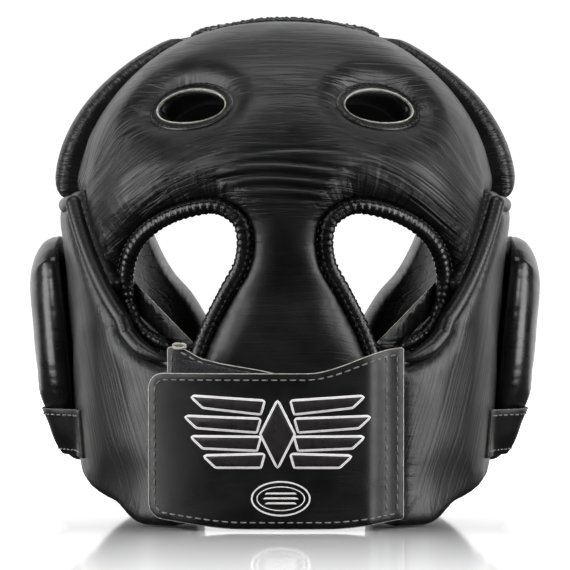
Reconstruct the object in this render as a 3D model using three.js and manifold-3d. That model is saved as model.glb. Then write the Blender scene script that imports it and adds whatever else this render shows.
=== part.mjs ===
// Open-face boxing headgear: padded leather shell with a hook-and-loop closure behind the neck.
// Millimetres, +Z up. The face looks along +Y and the closure along -Y; +X is to the right seen from behind.
import * as THREE from "three";
import { mergeVertices } from "three/addons/utils/BufferGeometryUtils.js";
import Module from "manifold-3d";

const wasm = await Module();
wasm.setup();

// ---- Driving sizes -------------------------------------------------------------------------

const GAP = 0.3; // clearance between pieces that touch
const EDGE_GAP = 1; // clearance of a binding from the edge it rolls over
const ROLL_GAP = 0.8; // clearance of the wing's rolled upper edge below the dome
const LEATHER = 1.0; // cover leather
const LINING = 1.0; // lining leather against the head
const STRAP = 2.0; // strap leather
const TAPE = 1.2; // hook or loop tape
const PRINT = 0.4; // printed transfer on the flap
const BINDING_RADIUS = 3.4; // rolled leather binding on a cut edge

// The ovals are superellipses, given by half width, half depth and exponent.
// The side's half width is the floor's, and widens with height.
const SIDE = { width: 99.5, widening: 0.095, top: 160 };
const WING = { depth: 122, power: 2.4, pad: 22 };
const CHEEK = { depth: 104, deepening: 0.15, power: 2.2, pad: 27 };
const sideTopWidth = SIDE.width + SIDE.widening * SIDE.top;
const cheekTopDepth = CHEEK.depth + CHEEK.deepening * SIDE.top;

// How far the dome sits inside the wings, and its centre below their top.
const DOME_TUCK = { side: 7.7, rear: 1, below: 10 };
const DOME = {
  width: sideTopWidth - DOME_TUCK.side,
  depth: WING.depth - DOME_TUCK.rear,
  centre: SIDE.top - DOME_TUCK.below,
  rise: 102,
  power: 2.25,
  pad: 22,
};
const BROW_OVERHANG = { side: 3.3, front: 9 }; // how far the brow stands out over the cheeks
const BROW = {
  width: sideTopWidth + BROW_OVERHANG.side,
  depth: cheekTopDepth + BROW_OVERHANG.front,
  centre: SIDE.top,
  rise: 95,
  power: 2.25,
  pad: 30,
};
const NAPE = { depth: DOME.depth - 9, blend: 45, bottom: 35 }; // the tongue below the dome

const CROWN_OPENING = { halfWidth: 52, halfDepth: 30 };
const DOME_SEAM = 6; // degrees behind the side, where the dome meets the brow pad
const EAR_SEAM = 3; // degrees in front of the side, where the wing meets the cheek
const FOOT_LIFT = 19; // how far the lower edge rises at the side
const FOOT_SPAN = { front: 50, rear: 90 }; // degrees from the side over which it comes down again
const FOOT_END = [43, 55]; // degrees from the side where the wing's edge drops to the floor
const BROW_ARCH = 6; // how far the brow's lower edge arches up in front

// The wing's upper edge falls from the side to the closure along a power curve.
const ROLL = { start: 26, end: 62, low: 84, power: 1.4 };
const WING_END = 50; // half width of the gap that the closure bridges

// Degrees from the side at which the wing and the dome have their creases, so that their seam matches.
const REAR_CREASES = [DOME_SEAM, 13, 20, ROLL.start, 31, 36, 42, 48, 55, ROLL.end, 70];
const DOME_CREASES = [...REAR_CREASES, 80, 90];

// Half width of the face opening at heights up the cheek.
const FACE_EDGE = [
  [0, 44], [50, 42], [79, 40], [95, 41], [103, 44.5], [114, 51.5], [125, 61], [141, 69.5], [160, 76],
];

// Neck opening beside the tongue, seen from behind on the right: up the tongue, over and down to the wing.
const NECK_OPENING = [
  [48, 34], [44, 60], [39, 78], [33, 94], [24.5, 111], [17.5, 124], [15.5, 137], [18, 147.5],
  [25, 154], [34, 157], [46, 155.5], [58, 151.5], [70, 144], [78, 133], [81, 120], [80, 106],
];
const NECK_OPENING_FOOT = [[76, 94], [69.5, 87], [62, 83.5], [49, 81]]; // its lower edge, on the wing
// Reach of the dome's cut, below its seam with the wing.
const NOTCH = { floor: 20, shoulder: 104, halfWidth: 200 };

const VENT = { x: 49, z: DOME.centre + 56.5, halfWidth: 25, halfHeight: 15.5, ring: 4.5, tilt: 3 };
const DISH = { halfWidth: 36, halfHeight: 26, depth: 9 }; // hollow round a vent

const EAR_PAD = { angle: 7, halfAngle: 23, foot: 26, belowTop: 18, pad: 20, rim: 7, lift: 0.5 };
const earPadMiddle = (EAR_PAD.foot + SIDE.top - EAR_PAD.belowTop) / 2;
const earPadHalfHeight = earPadMiddle - EAR_PAD.foot;
const EAR_HOLE = { y: 6, z: earPadMiddle + 14, halfWidth: 16, halfHeight: 29 };

const CLOSURE = {
  left: -WING_END - 15,
  right: WING_END + 6.5,
  loopLeft: -WING_END - 6,
  loopRight: WING_END - 12,
  foot: 0.8,
  corner: 7,
};
const CLOSURE_TOP = { left: 74, right: 86 };
const CHIN = { low: 30, high: 54, rear: EAR_PAD.angle - 33, sewn: 62, flapEnd: 106, leftEnd: 76 };
const CROWN_TAB = { halfWidth: 24, belowRim: 11, rearEnd: 14, frontEnd: -16, fold: 16 };

// ---- Shapes shared by the pieces -----------------------------------------------------------

const { clamp, degToRad, lerp, smoothstep } = THREE.MathUtils;
const halfGapAngle = GAP / 2 / DOME.width; // radians that half a clearance takes at the side

function ovalRadius(halfWidth, halfDepth, power, angle) {
  const x = Math.abs(Math.cos(angle)) / halfWidth;
  const y = Math.abs(Math.sin(angle)) / halfDepth;
  return (x ** power + y ** power) ** (-1 / power);
}

// Angle from the nearer side, in degrees: 0 at either ear, 90 at the face or the nape.
function fromSide(angle) {
  return Math.asin(Math.abs(Math.sin(angle))) / degToRad(1);
}

function polar(radius, angle, z) {
  return new THREE.Vector3(radius * Math.cos(angle), radius * Math.sin(angle), z);
}

// A point of a padded dome: rounded over above its centre, and drawn in to the nape below it.
function domePoint(shell, angle, z, depth) {
  const rise = shell.rise - depth;
  const up = clamp((z - shell.centre) / rise, 0, 1);
  const down = smoothstep(shell.centre - z, 0, NAPE.blend);
  const halfDepth = lerp(shell.depth, NAPE.depth, down) - depth;
  const radius = ovalRadius(shell.width - depth, halfDepth, shell.power, angle);
  return polar(radius * Math.sqrt(1 - up * up), angle, z);
}

// Height of the dome's surface over the crown opening's rim.
function rimHeight(shell, angle, depth) {
  const opening = ovalRadius(CROWN_OPENING.halfWidth, CROWN_OPENING.halfDepth, 2, angle);
  const radius = ovalRadius(shell.width - depth, shell.depth - depth, shell.power, angle);
  return shell.centre + (shell.rise - depth) * Math.sqrt(1 - (opening / radius) ** 2);
}

function sideHalfWidth(z) {
  return SIDE.width + SIDE.widening * z;
}

function wingRadius(angle, z, depth) {
  return ovalRadius(sideHalfWidth(z) - depth, WING.depth - depth, WING.power, angle);
}

function cheekRadius(angle, z, depth) {
  const halfDepth = CHEEK.depth + CHEEK.deepening * z - depth;
  return ovalRadius(sideHalfWidth(z) - depth, halfDepth, CHEEK.power, angle);
}

// The side of the headgear as one surface: the wing behind the ear, the cheek in front of it.
function sidePoint(angle, z, depth) {
  const radius = Math.sin(angle) < 0 ? wingRadius(angle, z, depth) : cheekRadius(angle, z, depth);
  return polar(radius, angle, z);
}

function footHeight(angle, span) {
  return (FOOT_LIFT / 2) * (1 + Math.cos(Math.PI * Math.min(1, fromSide(angle) / span)));
}

function rollHeight(angle) {
  const along = clamp((fromSide(angle) - ROLL.start) / (ROLL.end - ROLL.start), 0, 1);
  return ROLL.low + (SIDE.top - ROLL.low) * (1 - along) ** ROLL.power;
}

function browHeight(angle) {
  return SIDE.top + BROW_ARCH * smoothstep(fromSide(angle), 20, 70);
}

const faceEdge = new THREE.SplineCurve(FACE_EDGE.map(([z, x]) => new THREE.Vector2(z, x)));
const faceEdgeSamples = faceEdge.getPoints(80);

function faceHalfWidth(z) {
  const next = faceEdgeSamples.findIndex((p) => p.x > z);
  if (next < 1) return faceEdgeSamples.at(next < 0 ? -1 : 0).y;
  const [a, b] = [faceEdgeSamples[next - 1], faceEdgeSamples[next]];
  return lerp(a.y, b.y, (z - a.x) / (b.x - a.x));
}

// Angle at a share of the way along a list of creases, evenly spaced along the piece.
function creaseAngle(creases, share) {
  const at = clamp(share, 0, 1) * (creases.length - 1);
  const before = Math.min(Math.floor(at), creases.length - 2);
  return degToRad(lerp(creases[before], creases[before + 1], at - before));
}

// Angle from the side at which an oval comes in to a given half width.
function angleAtHalfWidth(x, halfWidth, halfDepth, power) {
  const y = halfDepth * (1 - (x / halfWidth) ** power) ** (1 / power);
  return Math.atan2(y, x);
}

// ---- Solids --------------------------------------------------------------------------------

function solidOf(geometry) {
  const bare = new THREE.BufferGeometry().setAttribute("position", geometry.getAttribute("position"));
  if (geometry.index) bare.setIndex(geometry.index);
  const merged = mergeVertices(bare, 1e-3);
  const vertProperties = merged.getAttribute("position").array;
  const triVerts = new Uint32Array(merged.index.array);
  const made = new wasm.Manifold(new wasm.Mesh({ numProp: 3, vertProperties, triVerts }));
  if (made.volume() > 0) return made;
  for (let i = 0; i < triVerts.length; i += 3) {
    [triVerts[i + 1], triVerts[i + 2]] = [triVerts[i + 2], triVerts[i + 1]];
  }
  return new wasm.Manifold(new wasm.Mesh({ numProp: 3, vertProperties, triVerts }));
}

function geometryOf(solid) {
  const { numProp, vertProperties, triVerts } = solid.getMesh();
  const positions = [];
  for (let i = 0; i < vertProperties.length; i += numProp) {
    positions.push(vertProperties[i], vertProperties[i + 1], vertProperties[i + 2]);
  }
  const indexed = new THREE.BufferGeometry();
  indexed.setAttribute("position", new THREE.Float32BufferAttribute(positions, 3));
  indexed.setIndex([...triVerts]);
  const geometry = indexed.toNonIndexed();
  geometry.computeVertexNormals();
  return geometry;
}

// A box bent round the head. place(u, v, outer) says where each of its points goes, with u and v
// from 0 to 1 along and up the piece; inset moves its four edges in by that share of each length.
// The facets of both sides are split alike, so that stacked layers stay parallel, and those of a
// symmetric piece are mirrored about its middle.
function bentBox(columns, rows, place, inset = { u: 0, v: 0 }, symmetric = false) {
  const box = new THREE.BoxGeometry(1, 1, 1, columns, rows, 1);
  const position = box.getAttribute("position");
  for (let i = 0; i < position.count; i++) {
    const u = clamp(position.getX(i) + 0.5, inset.u, 1 - inset.u);
    const v = clamp(position.getY(i) + 0.5, inset.v, 1 - inset.v);
    const p = place(u, v, position.getZ(i) > 0);
    position.setXYZ(i, p.x, p.y, p.z);
  }
  for (const side of [4, 5]) {
    const { start, count } = box.groups[side];
    for (let i = start; i < start + count; i += 6) {
      const [a, b, d, , c] = box.index.array.slice(i, i + 5);
      const column = ((i - start) / 6) % columns;
      const rightHalf = symmetric && (side === 4 ? 2 * column >= columns : 2 * column < columns);
      if (rightHalf === (side === 4)) box.index.array.set([a, b, c, a, c, d], i);
    }
  }
  return solidOf(box);
}

// A padded panel is a cover open at the back, a foam core in it and a lining that closes it.
// at(u, v, depth) is its surface, depth below the outside; size is its length and height.
// trim(solid, inset) makes the panel's own cuts, drawn back by inset from the finished edge.
function paddedPanel(name, { at, pad, columns, rows, size, symmetric, trim = (solid) => solid }) {
  const layer = (outer, inner, edge) => {
    const inset = { u: edge / size[0], v: edge / size[1] };
    const place = (u, v, outside) => at(u, v, outside ? outer : inner);
    return trim(bentBox(columns, rows, place, inset, symmetric), edge, outer);
  };
  const back = pad - LINING;
  const pocket = layer(LEATHER, pad, LEATHER);
  return [
    [`${name}_cover`, layer(0, back - GAP, 0).subtract(pocket), looks.leather],
    [`${name}_foam`, layer(LEATHER + GAP, back - GAP, LEATHER + 2 * GAP), looks.foam],
    [`${name}_lining`, layer(back, pad, 0), looks.lining],
  ];
}

// A closed outline in X and Z, extruded along Y from the head's centre backwards.
function rearPrism(outline, length = 160) {
  const shape = new THREE.Shape(outline);
  const block = new THREE.ExtrudeGeometry(shape, { depth: length, bevelEnabled: false });
  return solidOf(block.rotateX(Math.PI / 2));
}

// The outline moved sideways, to its left as it runs, by a distance.
function offsetOutline(points, distance) {
  const leftOf = (a, b) => new THREE.Vector2(a.y - b.y, b.x - a.x).normalize();
  return points.map((p, i) => {
    const [second, last] = [Math.max(1, i), Math.min(points.length - 1, i + 1)];
    const before = leftOf(points[second - 1], points[second]);
    const after = leftOf(points[last - 1], points[last]);
    const miter = distance / Math.max(0.3, 1 + before.dot(after));
    return p.clone().addScaledVector(before.add(after), miter);
  });
}

function roundBar(path, radius, steps) {
  const section = new THREE.Shape();
  section.absarc(0, 0, radius, 0, 2 * Math.PI, false);
  const options = { steps, curveSegments: 4, extrudePath: path, bevelEnabled: false };
  return solidOf(new THREE.ExtrudeGeometry(section, options));
}

// ---- Materials -----------------------------------------------------------------------------

function look(color, roughness, metalness = 0) {
  return new THREE.MeshStandardMaterial({ color, roughness, metalness, flatShading: true });
}

const looks = {
  leather: look(0x1b1b1c, 0.35),
  binding: look(0x141415, 0.3),
  lining: look(0x19191a, 0.65),
  foam: look(0x55565a, 0.9),
  strap: look(0x202021, 0.5),
  tape: look(0x0f0f10, 0.95),
  print: look(0xe9e9ea, 0.5),
};

const headgear = new THREE.Group();

function add(name, solid, material, parent = headgear) {
  const mesh = new THREE.Mesh(geometryOf(solid), material);
  mesh.name = name;
  parent.add(mesh);
  return mesh;
}

function addPanel(name, panel) {
  for (const piece of paddedPanel(name, panel)) add(...piece);
}

// Adds the right-hand piece as built and the left-hand one as its mirror image.
function addPair(name, solid, material) {
  add(`${name}_right`, solid, material);
  add(`${name}_left`, solid, material).scale.x = -1;
}

// ---- Brow pad ------------------------------------------------------------------------------

function browAt(u, v, depth) {
  const start = -degToRad(DOME_SEAM) + halfGapAngle;
  const angle = lerp(start, Math.PI - start, u);
  const low = browHeight(angle);
  const high = rimHeight(BROW, angle, depth);
  // Even steps of elevation keep the rows evenly spaced over the rounded top.
  const rise = BROW.rise - depth;
  const lowAngle = Math.asin((low - BROW.centre) / rise);
  const highAngle = Math.asin((high - BROW.centre) / rise);
  const z = BROW.centre + rise * Math.sin(lerp(lowAngle, highAngle, v));
  return domePoint(BROW, angle, z, depth);
}

const browSize = [330, 115];
addPanel("brow", { at: browAt, pad: BROW.pad, columns: 16, rows: 6, size: browSize, symmetric: true });

// ---- Rear dome with the tongue, neck openings and vents ------------------------------------

// Lower edge of the sheet before the neck openings are cut: the roll seam, then down the tongue.
function domeFoot(angle) {
  const side = fromSide(angle);
  return lerp(rollHeight(angle) + GAP, NAPE.bottom, smoothstep(side, 48, 55));
}

function domeAt(u, v, depth) {
  const side = creaseAngle(DOME_CREASES, 1 - Math.abs(2 * u - 1));
  const angle = 1.5 * Math.PI + Math.sign(u - 0.5) * (Math.PI / 2 - side);
  const low = domeFoot(angle);
  const high = rimHeight(DOME, angle, depth);
  const rise = DOME.rise - depth;
  const highAngle = Math.asin((high - DOME.centre) / rise);
  const lowShare = (low - DOME.centre) / rise;
  const lowAngle = lowShare < 0 ? lowShare : Math.asin(lowShare);
  const step = lerp(lowAngle, highAngle, v);
  const z = DOME.centre + rise * (step < 0 ? step : Math.sin(step));
  return domePoint(DOME, angle, z, depth);
}

const points2d = (pairs) => pairs.map(([x, z]) => new THREE.Vector2(x, z));
const neckEdge = new THREE.SplineCurve(points2d(NECK_OPENING)).getPoints(18);

// Cutters for one neck opening: through the dome down past its seam, and through the wing below it.
function domeNotch(inset) {
  const edge = offsetOutline([...neckEdge, ...points2d([[NOTCH.halfWidth, NOTCH.shoulder]])], inset);
  const corners = [[NOTCH.halfWidth, NOTCH.floor], [edge[0].x, NOTCH.floor]];
  return rearPrism([...edge, ...points2d(corners)]);
}

function wingNotch(inset) {
  return rearPrism(offsetOutline([...neckEdge, ...points2d(NECK_OPENING_FOOT)], inset));
}

// Frame of a vent: its centre on the dome at a depth, facing straight out of the surface.
function ventFrame(side, depth) {
  const flat = new THREE.Vector2(VENT.x, VENT.z - DOME.centre);
  const across = Math.sqrt(1 - (flat.y / DOME.rise) ** 2);
  const y = -DOME.depth * (across ** DOME.power - (flat.x / DOME.width) ** DOME.power) ** (1 / DOME.power);
  const normal = new THREE.Vector3(flat.x / DOME.width ** 2, y / DOME.depth ** 2, flat.y / DOME.rise ** 2);
  normal.normalize();
  const centre = new THREE.Vector3(flat.x, y, VENT.z).addScaledVector(normal, -depth);
  const up = new THREE.Vector3(0, 0, 1).addScaledVector(normal, -normal.z).normalize();
  up.applyAxisAngle(normal, degToRad(VENT.tilt));
  const matrix = new THREE.Matrix4().makeBasis(new THREE.Vector3().crossVectors(up, normal), up, normal);
  return new THREE.Matrix4().makeScale(side, 1, 1).multiply(matrix.setPosition(centre));
}

function ventPlug(side, grow, top = 30) {
  const plug = new THREE.CylinderGeometry(1, 1, 60, 16).rotateX(Math.PI / 2).translate(0, 0, top - 30);
  plug.scale(VENT.halfWidth + grow, VENT.halfHeight + grow, 1);
  return solidOf(plug.applyMatrix4(ventFrame(side, 0)));
}

function ventDish(side, grow) {
  const dish = new THREE.SphereGeometry(1, 14, 8).rotateX(Math.PI / 2);
  dish.scale(DISH.halfWidth + grow, DISH.halfHeight + grow, DISH.depth + grow);
  return solidOf(dish.applyMatrix4(ventFrame(side, 0)));
}

// The dome's cuts. A layer's hole is the ring's outside in the cover, and its inside further in;
// the dish goes as much deeper in each layer as that layer lies below the outside.
function trimDome(solid, edge, outer) {
  const cover = outer <= LEATHER && edge <= LEATHER;
  const notch = domeNotch(edge);
  let cut = solid.subtract(notch).subtract(notch.mirror([1, 0, 0]));
  for (const side of [1, -1]) {
    if (outer < DOME.pad / 2) cut = cut.subtract(ventDish(side, outer));
    const grow = edge === 0 && outer === 0 ? 0 : -VENT.ring + GAP + edge;
    cut = cover && edge > 0 ? cut : cut.subtract(ventPlug(side, grow));
  }
  return cut;
}

addPanel("dome", {
  at: domeAt,
  pad: DOME.pad,
  columns: 24,
  rows: 8,
  size: [360, 100],
  symmetric: true,
  trim: trimDome,
});

// The ring lies in the dish where the cover's leather ends, and lines the edge of the hole.
function ventRing(side) {
  const hollow = ventDish(side, LEATHER).subtract(ventDish(side, 0));
  return hollow.intersect(ventPlug(side, -GAP, 0)).subtract(ventPlug(side, -VENT.ring));
}

// ---- Wings: the padded sides behind the ears, down to the closure --------------------------

function earPlug(grow) {
  const plug = new THREE.CylinderGeometry(1, 1, 80, 20).rotateZ(Math.PI / 2);
  plug.scale(1, EAR_HOLE.halfWidth + grow, EAR_HOLE.halfHeight + grow);
  return solidOf(plug.translate(SIDE.width, EAR_HOLE.y, EAR_HOLE.z));
}

const trimEar = (solid, edge) => solid.subtract(earPlug(edge));

// The wing ends square at the closure, and its upper edge follows the neck opening.
function trimWing(solid, edge) {
  const end = WING_END + edge;
  const beyond = new THREE.BoxGeometry(200, 200, 400).translate(end - 100, -100, 100);
  return trimEar(solid, edge).subtract(solidOf(beyond)).subtract(wingNotch(edge));
}

const WING_CREASES = [-EAR_SEAM, ...REAR_CREASES];

function wingAt(u, v, depth) {
  const angle = -creaseAngle(WING_CREASES, u) - (u === 0 ? halfGapAngle : 0);
  const foot = footHeight(angle, FOOT_SPAN.rear) * (1 - smoothstep(fromSide(angle), ...FOOT_END));
  const z = lerp(foot, rollHeight(angle) - ROLL_GAP, v);
  return polar(wingRadius(angle, z, depth), angle, z);
}

const wingPanel = { at: wingAt, pad: WING.pad, columns: 11, rows: 6, size: [175, 120], trim: trimWing };
for (const piece of paddedPanel("wing", wingPanel)) addPair(...piece);

// ---- Cheeks: the padded sides in front of the ears -----------------------------------------

function cheekAt(u, v, depth) {
  const start = degToRad(EAR_SEAM) + halfGapAngle;
  const heightAt = (angle) => lerp(footHeight(angle, FOOT_SPAN.front), browHeight(angle) - GAP, v);
  let end = degToRad(60);
  for (let pass = 0; pass < 3; pass++) {
    const z = heightAt(end);
    const halfDepth = CHEEK.depth + CHEEK.deepening * z - depth;
    end = angleAtHalfWidth(faceHalfWidth(z), sideHalfWidth(z) - depth, halfDepth, CHEEK.power);
  }
  const angle = lerp(start, end, u);
  const z = heightAt(angle);
  return polar(cheekRadius(angle, z, depth), angle, z);
}

const cheekPanel = { at: cheekAt, pad: CHEEK.pad, columns: 7, rows: 8, size: [105, 165], trim: trimEar };
for (const piece of paddedPanel("cheek", cheekPanel)) addPair(...piece);

// ---- Ear pads: pillows sewn over the ears --------------------------------------------------

// How far the ear pad stands off the side at an angle in degrees and a height; 0 outside it.
function earRise(angle, z) {
  const u = (angle - EAR_PAD.angle) / EAR_PAD.halfAngle;
  const v = (z - earPadMiddle) / earPadHalfHeight;
  const swell = Math.max(0, 1 - u ** 4) * Math.max(0, 1 - v ** 4);
  const on = Math.abs(u) <= 1 && Math.abs(v) <= 1;
  return on ? EAR_PAD.rim + (EAR_PAD.pad - EAR_PAD.rim) * swell : 0;
}

// A square sheet drawn in to a rounded outline.
function earPlace(u, v) {
  const [a, b] = [2 * u - 1, 2 * v - 1];
  const across = a * Math.sqrt(1 - (b * b) / 2.6);
  const up = b * Math.sqrt(1 - (a * a) / 2.6);
  return [EAR_PAD.angle + across * EAR_PAD.halfAngle, earPadMiddle + up * earPadHalfHeight];
}

function earLayer(fromOutside, offBase, edge) {
  const inset = { u: edge / 90, v: edge / 116 };
  const place = (u, v, outside) => {
    const [angle, z] = earPlace(u, v);
    const lift = EAR_PAD.lift + (outside ? earRise(angle, z) - fromOutside : offBase);
    return sidePoint(degToRad(angle), z, -lift);
  };
  return bentBox(8, 8, place, inset);
}

const earCover = earLayer(0, 0, 0).subtract(earLayer(LEATHER, -1, LEATHER));
addPair("ear_pad_cover", earCover, looks.leather);
addPair("ear_pad_foam", earLayer(LEATHER + GAP, GAP, LEATHER + GAP), looks.foam);

// ---- Trim ----------------------------------------------------------------------------------

addPair("vent_ring", ventRing(1), looks.binding);

// Rolled binding round a neck opening, from the roll seam over the top and down the tongue.
function neckBinding() {
  const line = offsetOutline(neckEdge, -(BINDING_RADIUS + EDGE_GAP)).slice(3);
  const points = line.map(({ x, y: z }) => {
    const down = smoothstep(DOME.centre - z, 0, NAPE.blend);
    const halfDepth = lerp(DOME.depth, NAPE.depth, down) - BINDING_RADIUS;
    const across = Math.sqrt(1 - Math.max(0, (z - DOME.centre) / DOME.rise) ** 2);
    const halfWidth = (DOME.width - BINDING_RADIUS) * across;
    const back = halfDepth * across * (1 - (x / halfWidth) ** DOME.power) ** (1 / DOME.power);
    return new THREE.Vector3(x, -back, z);
  });
  return roundBar(new THREE.CatmullRomCurve3(points), BINDING_RADIUS, 22);
}

addPair("neck_binding", neckBinding(), looks.binding);

// Rolled binding along one edge of the crown opening.
function crownBinding(shell, start, end) {
  const points = [];
  for (let i = 0; i <= 20; i++) {
    const angle = lerp(start, end, i / 20);
    const opening = ovalRadius(CROWN_OPENING.halfWidth, CROWN_OPENING.halfDepth, 2, angle);
    points.push(polar(opening - BINDING_RADIUS - EDGE_GAP, angle, rimHeight(shell, angle, 0)));
  }
  return roundBar(new THREE.CatmullRomCurve3(points), BINDING_RADIUS, 18);
}

const browEnd = degToRad(10);
add("crown_binding_front", crownBinding(BROW, browEnd, Math.PI - browEnd), looks.binding);
add("crown_binding_rear", crownBinding(DOME, Math.PI + browEnd, 2 * Math.PI - browEnd), looks.binding);

// ---- Closure behind the neck ---------------------------------------------------------------

// A flat piece wrapped round the neck: each X lies off the wing's oval by lift to lift + thickness.
function wrapRear(x, z, lift) {
  const share = Math.abs(x) / (sideHalfWidth(z) + lift);
  const back = (WING.depth + lift) * (1 - share ** WING.power) ** (1 / WING.power);
  return new THREE.Vector3(x, -back, z);
}

function flapTop(x) {
  return lerp(CLOSURE_TOP.left, CLOSURE_TOP.right, smoothstep(x, 10, CLOSURE.right));
}

// How much a rounded corner takes off the flap's height near its free end.
function cornerCut(x) {
  const inside = clamp((CLOSURE.left + CLOSURE.corner - x) / CLOSURE.corner, 0, 1);
  return CLOSURE.corner * (1 - Math.sqrt(1 - inside * inside));
}

function flapFoot(x) {
  return CLOSURE.foot + 5 * smoothstep(Math.abs(x), 20, 75);
}

// The flap comes down to the wing at its sewn end.
function rootDrop(x) {
  return (lifts.lining - lifts.tab) * smoothstep(x, CLOSURE.loopRight + 1, WING_END);
}

function rearSheet(left, right, low, high, lift, thickness) {
  const place = (u, v, outside) => {
    const x = lerp(left, right, u);
    return wrapRear(x, lerp(low(x), high(x), v), outside ? lift + thickness : lift);
  };
  return bentBox(10, 2, place);
}

function loopTabTop(x) {
  const along = (x - CLOSURE.loopLeft) / (CLOSURE.loopRight - CLOSURE.loopLeft);
  return lerp(86, 64, clamp(along, 0, 1));
}

const margin = 5; // tape set in from the leather's edge
const lifts = { tab: GAP + 0.2 };
lifts.loop = lifts.tab + STRAP + GAP;
lifts.hook = lifts.loop + TAPE + GAP;
lifts.lining = lifts.hook + TAPE + GAP;
lifts.flap = lifts.lining + LINING + GAP;
lifts.print = lifts.flap + STRAP + GAP;

const { loopLeft, loopRight } = CLOSURE;
const loopTab = rearSheet(loopLeft, loopRight, () => 5, loopTabTop, lifts.tab, STRAP);
const patchTop = (x) => loopTabTop(x) - margin;
const patchRight = loopRight - margin;
const loopPatch = rearSheet(-WING_END, patchRight, () => 5 + margin, patchTop, lifts.loop, TAPE);
add("loop_tab", loopTab, looks.strap);
add("loop_patch", loopPatch, looks.tape);

const flap = new THREE.Group();
flap.name = "flap";
headgear.add(flap);

function flapSheet(edge, lift, thickness) {
  const length = CLOSURE.right - CLOSURE.left;
  const place = (u, v, outside) => {
    const x = lerp(CLOSURE.left, CLOSURE.right, u);
    const low = flapFoot(x) + cornerCut(x) + edge;
    const high = flapTop(x) - cornerCut(x) - edge;
    return wrapRear(x, lerp(low, high, v), (outside ? lift + thickness : lift) - rootDrop(x));
  };
  return bentBox(18, 2, place, { u: edge / length, v: 0 });
}

add("closure_flap", flapSheet(0, lifts.flap, STRAP), looks.strap, flap);
add("closure_flap_lining", flapSheet(1, lifts.lining, LINING), looks.lining, flap);
add("hook_patch", rearSheet(-53, 30, () => 12, () => 66, lifts.hook, TAPE), looks.tape, flap);
add("emblem_print", rearSheet(-51, 43, () => 30, () => 62, lifts.print, PRINT), looks.print, flap);
add("badge_print", rearSheet(-18, 13, () => 6, () => 24, lifts.print, PRINT), looks.print, flap);

// ---- Chin strap ----------------------------------------------------------------------------

// A band round the jaw, from one angle to another, lying over the ear pad where it crosses it.
// drop(angle) is how far it comes down towards what lies below it.
function jawBand(from, to, low, high, lift, thickness, columns, drop = () => 0) {
  const place = (u, v, outside) => {
    const angle = lerp(from, to, u);
    const side = angle > 90 ? 180 - angle : angle;
    const z = lerp(low, high, v);
    const ear = Math.max(earRise(side, z), earRise(side - 6, z), earRise(side + 6, z));
    const onEar = EAR_PAD.lift * 2 + Math.max(ear, earRise(side, z + 6));
    const off = (ear > 0 ? onEar : 0) + lift - drop(angle) + (outside ? thickness : 0);
    return sidePoint(degToRad(angle), z, -off);
  };
  return bentBox(columns, 2, place);
}

const chinLifts = { band: 1, loop: 1 + STRAP + GAP };
chinLifts.hook = chinLifts.loop + TAPE + GAP;
chinLifts.flap = chinLifts.hook + TAPE + GAP;
const { low: chinLow, high: chinHigh, rear: chinRear, sewn, flapEnd, leftEnd } = CHIN;
const leftStrap = jawBand(180 - chinRear, leftEnd, chinLow, chinHigh, chinLifts.band, STRAP, 38);
const rightStrap = jawBand(chinRear, sewn, chinLow, chinHigh, chinLifts.band, STRAP, 28);
add("chin_strap_left", leftStrap, looks.strap);
add("chin_strap_right", rightStrap, looks.strap);
const tapeLow = chinLow + 2;
const tapeHigh = chinHigh - 2;
const tapeStart = leftEnd + 2;
const chinLoop = jawBand(tapeStart, flapEnd, tapeLow, tapeHigh, chinLifts.loop, TAPE, 6);
const chinHook = jawBand(tapeStart, flapEnd - 2, tapeLow, tapeHigh, chinLifts.hook, TAPE, 6);
add("chin_loop_patch", chinLoop, looks.tape);
add("chin_hook_patch", chinHook, looks.tape);

// The flap is sewn over the end of the right-hand strap and steps out over the tapes.
const chinDrop = (angle) => (chinLifts.flap - chinLifts.loop) * (1 - smoothstep(angle, sewn, leftEnd));
const chinFlap = jawBand(sewn - 6, flapEnd, chinLow, chinHigh, chinLifts.flap, STRAP, 14, chinDrop);
add("chin_flap", chinFlap, looks.strap);

// ---- Crown tabs ----------------------------------------------------------------------------

// A tab across the crown opening, arched like the head below it.
function crownTab(from, to, z, halfWidth, thickness) {
  const place = (u, v, outside) => {
    const x = lerp(-halfWidth, halfWidth, u);
    const y = lerp(from, to, v);
    return new THREE.Vector3(x, y, z + (outside ? thickness : 0) - x * x / 260 - y * y / 260);
  };
  return bentBox(6, 5, place);
}

const rim = (x) => CROWN_OPENING.halfDepth * Math.sqrt(1 - (x / CROWN_OPENING.halfWidth) ** 2) - GAP;
const tabRim = rim(CROWN_TAB.halfWidth);
const crownRearZ = rimHeight(DOME, -Math.PI / 2, 0) - CROWN_TAB.belowRim;
const { frontEnd, rearEnd, fold, halfWidth } = CROWN_TAB;
add("crown_tab_rear", crownTab(-tabRim, rearEnd, crownRearZ, halfWidth, STRAP), looks.strap);
const crownLoopZ = crownRearZ + STRAP + GAP;
add("crown_loop_patch", crownTab(frontEnd, rearEnd - 2, crownLoopZ, 20, TAPE), looks.tape);
const crownHookZ = crownLoopZ + TAPE + GAP;
add("crown_hook_patch", crownTab(frontEnd + 2, rearEnd - 2, crownHookZ, 20, TAPE), looks.tape);
const crownFlapZ = crownHookZ + TAPE + GAP;
add("crown_flap", crownTab(frontEnd, fold - GAP, crownFlapZ, halfWidth, STRAP), looks.strap);
add("crown_tab_front", crownTab(fold, tabRim, crownFlapZ, halfWidth, STRAP), looks.strap);

// The origin is the middle of the bounding box's bottom.
const bounds = new THREE.Box3().setFromObject(headgear);
const middle = bounds.getCenter(new THREE.Vector3());
headgear.position.set(-middle.x, -middle.y, -bounds.min.z);

export default headgear;
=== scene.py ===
"""Looks of a padded leather boxing headgear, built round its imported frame. Run as a script in Blender."""

import math

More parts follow.
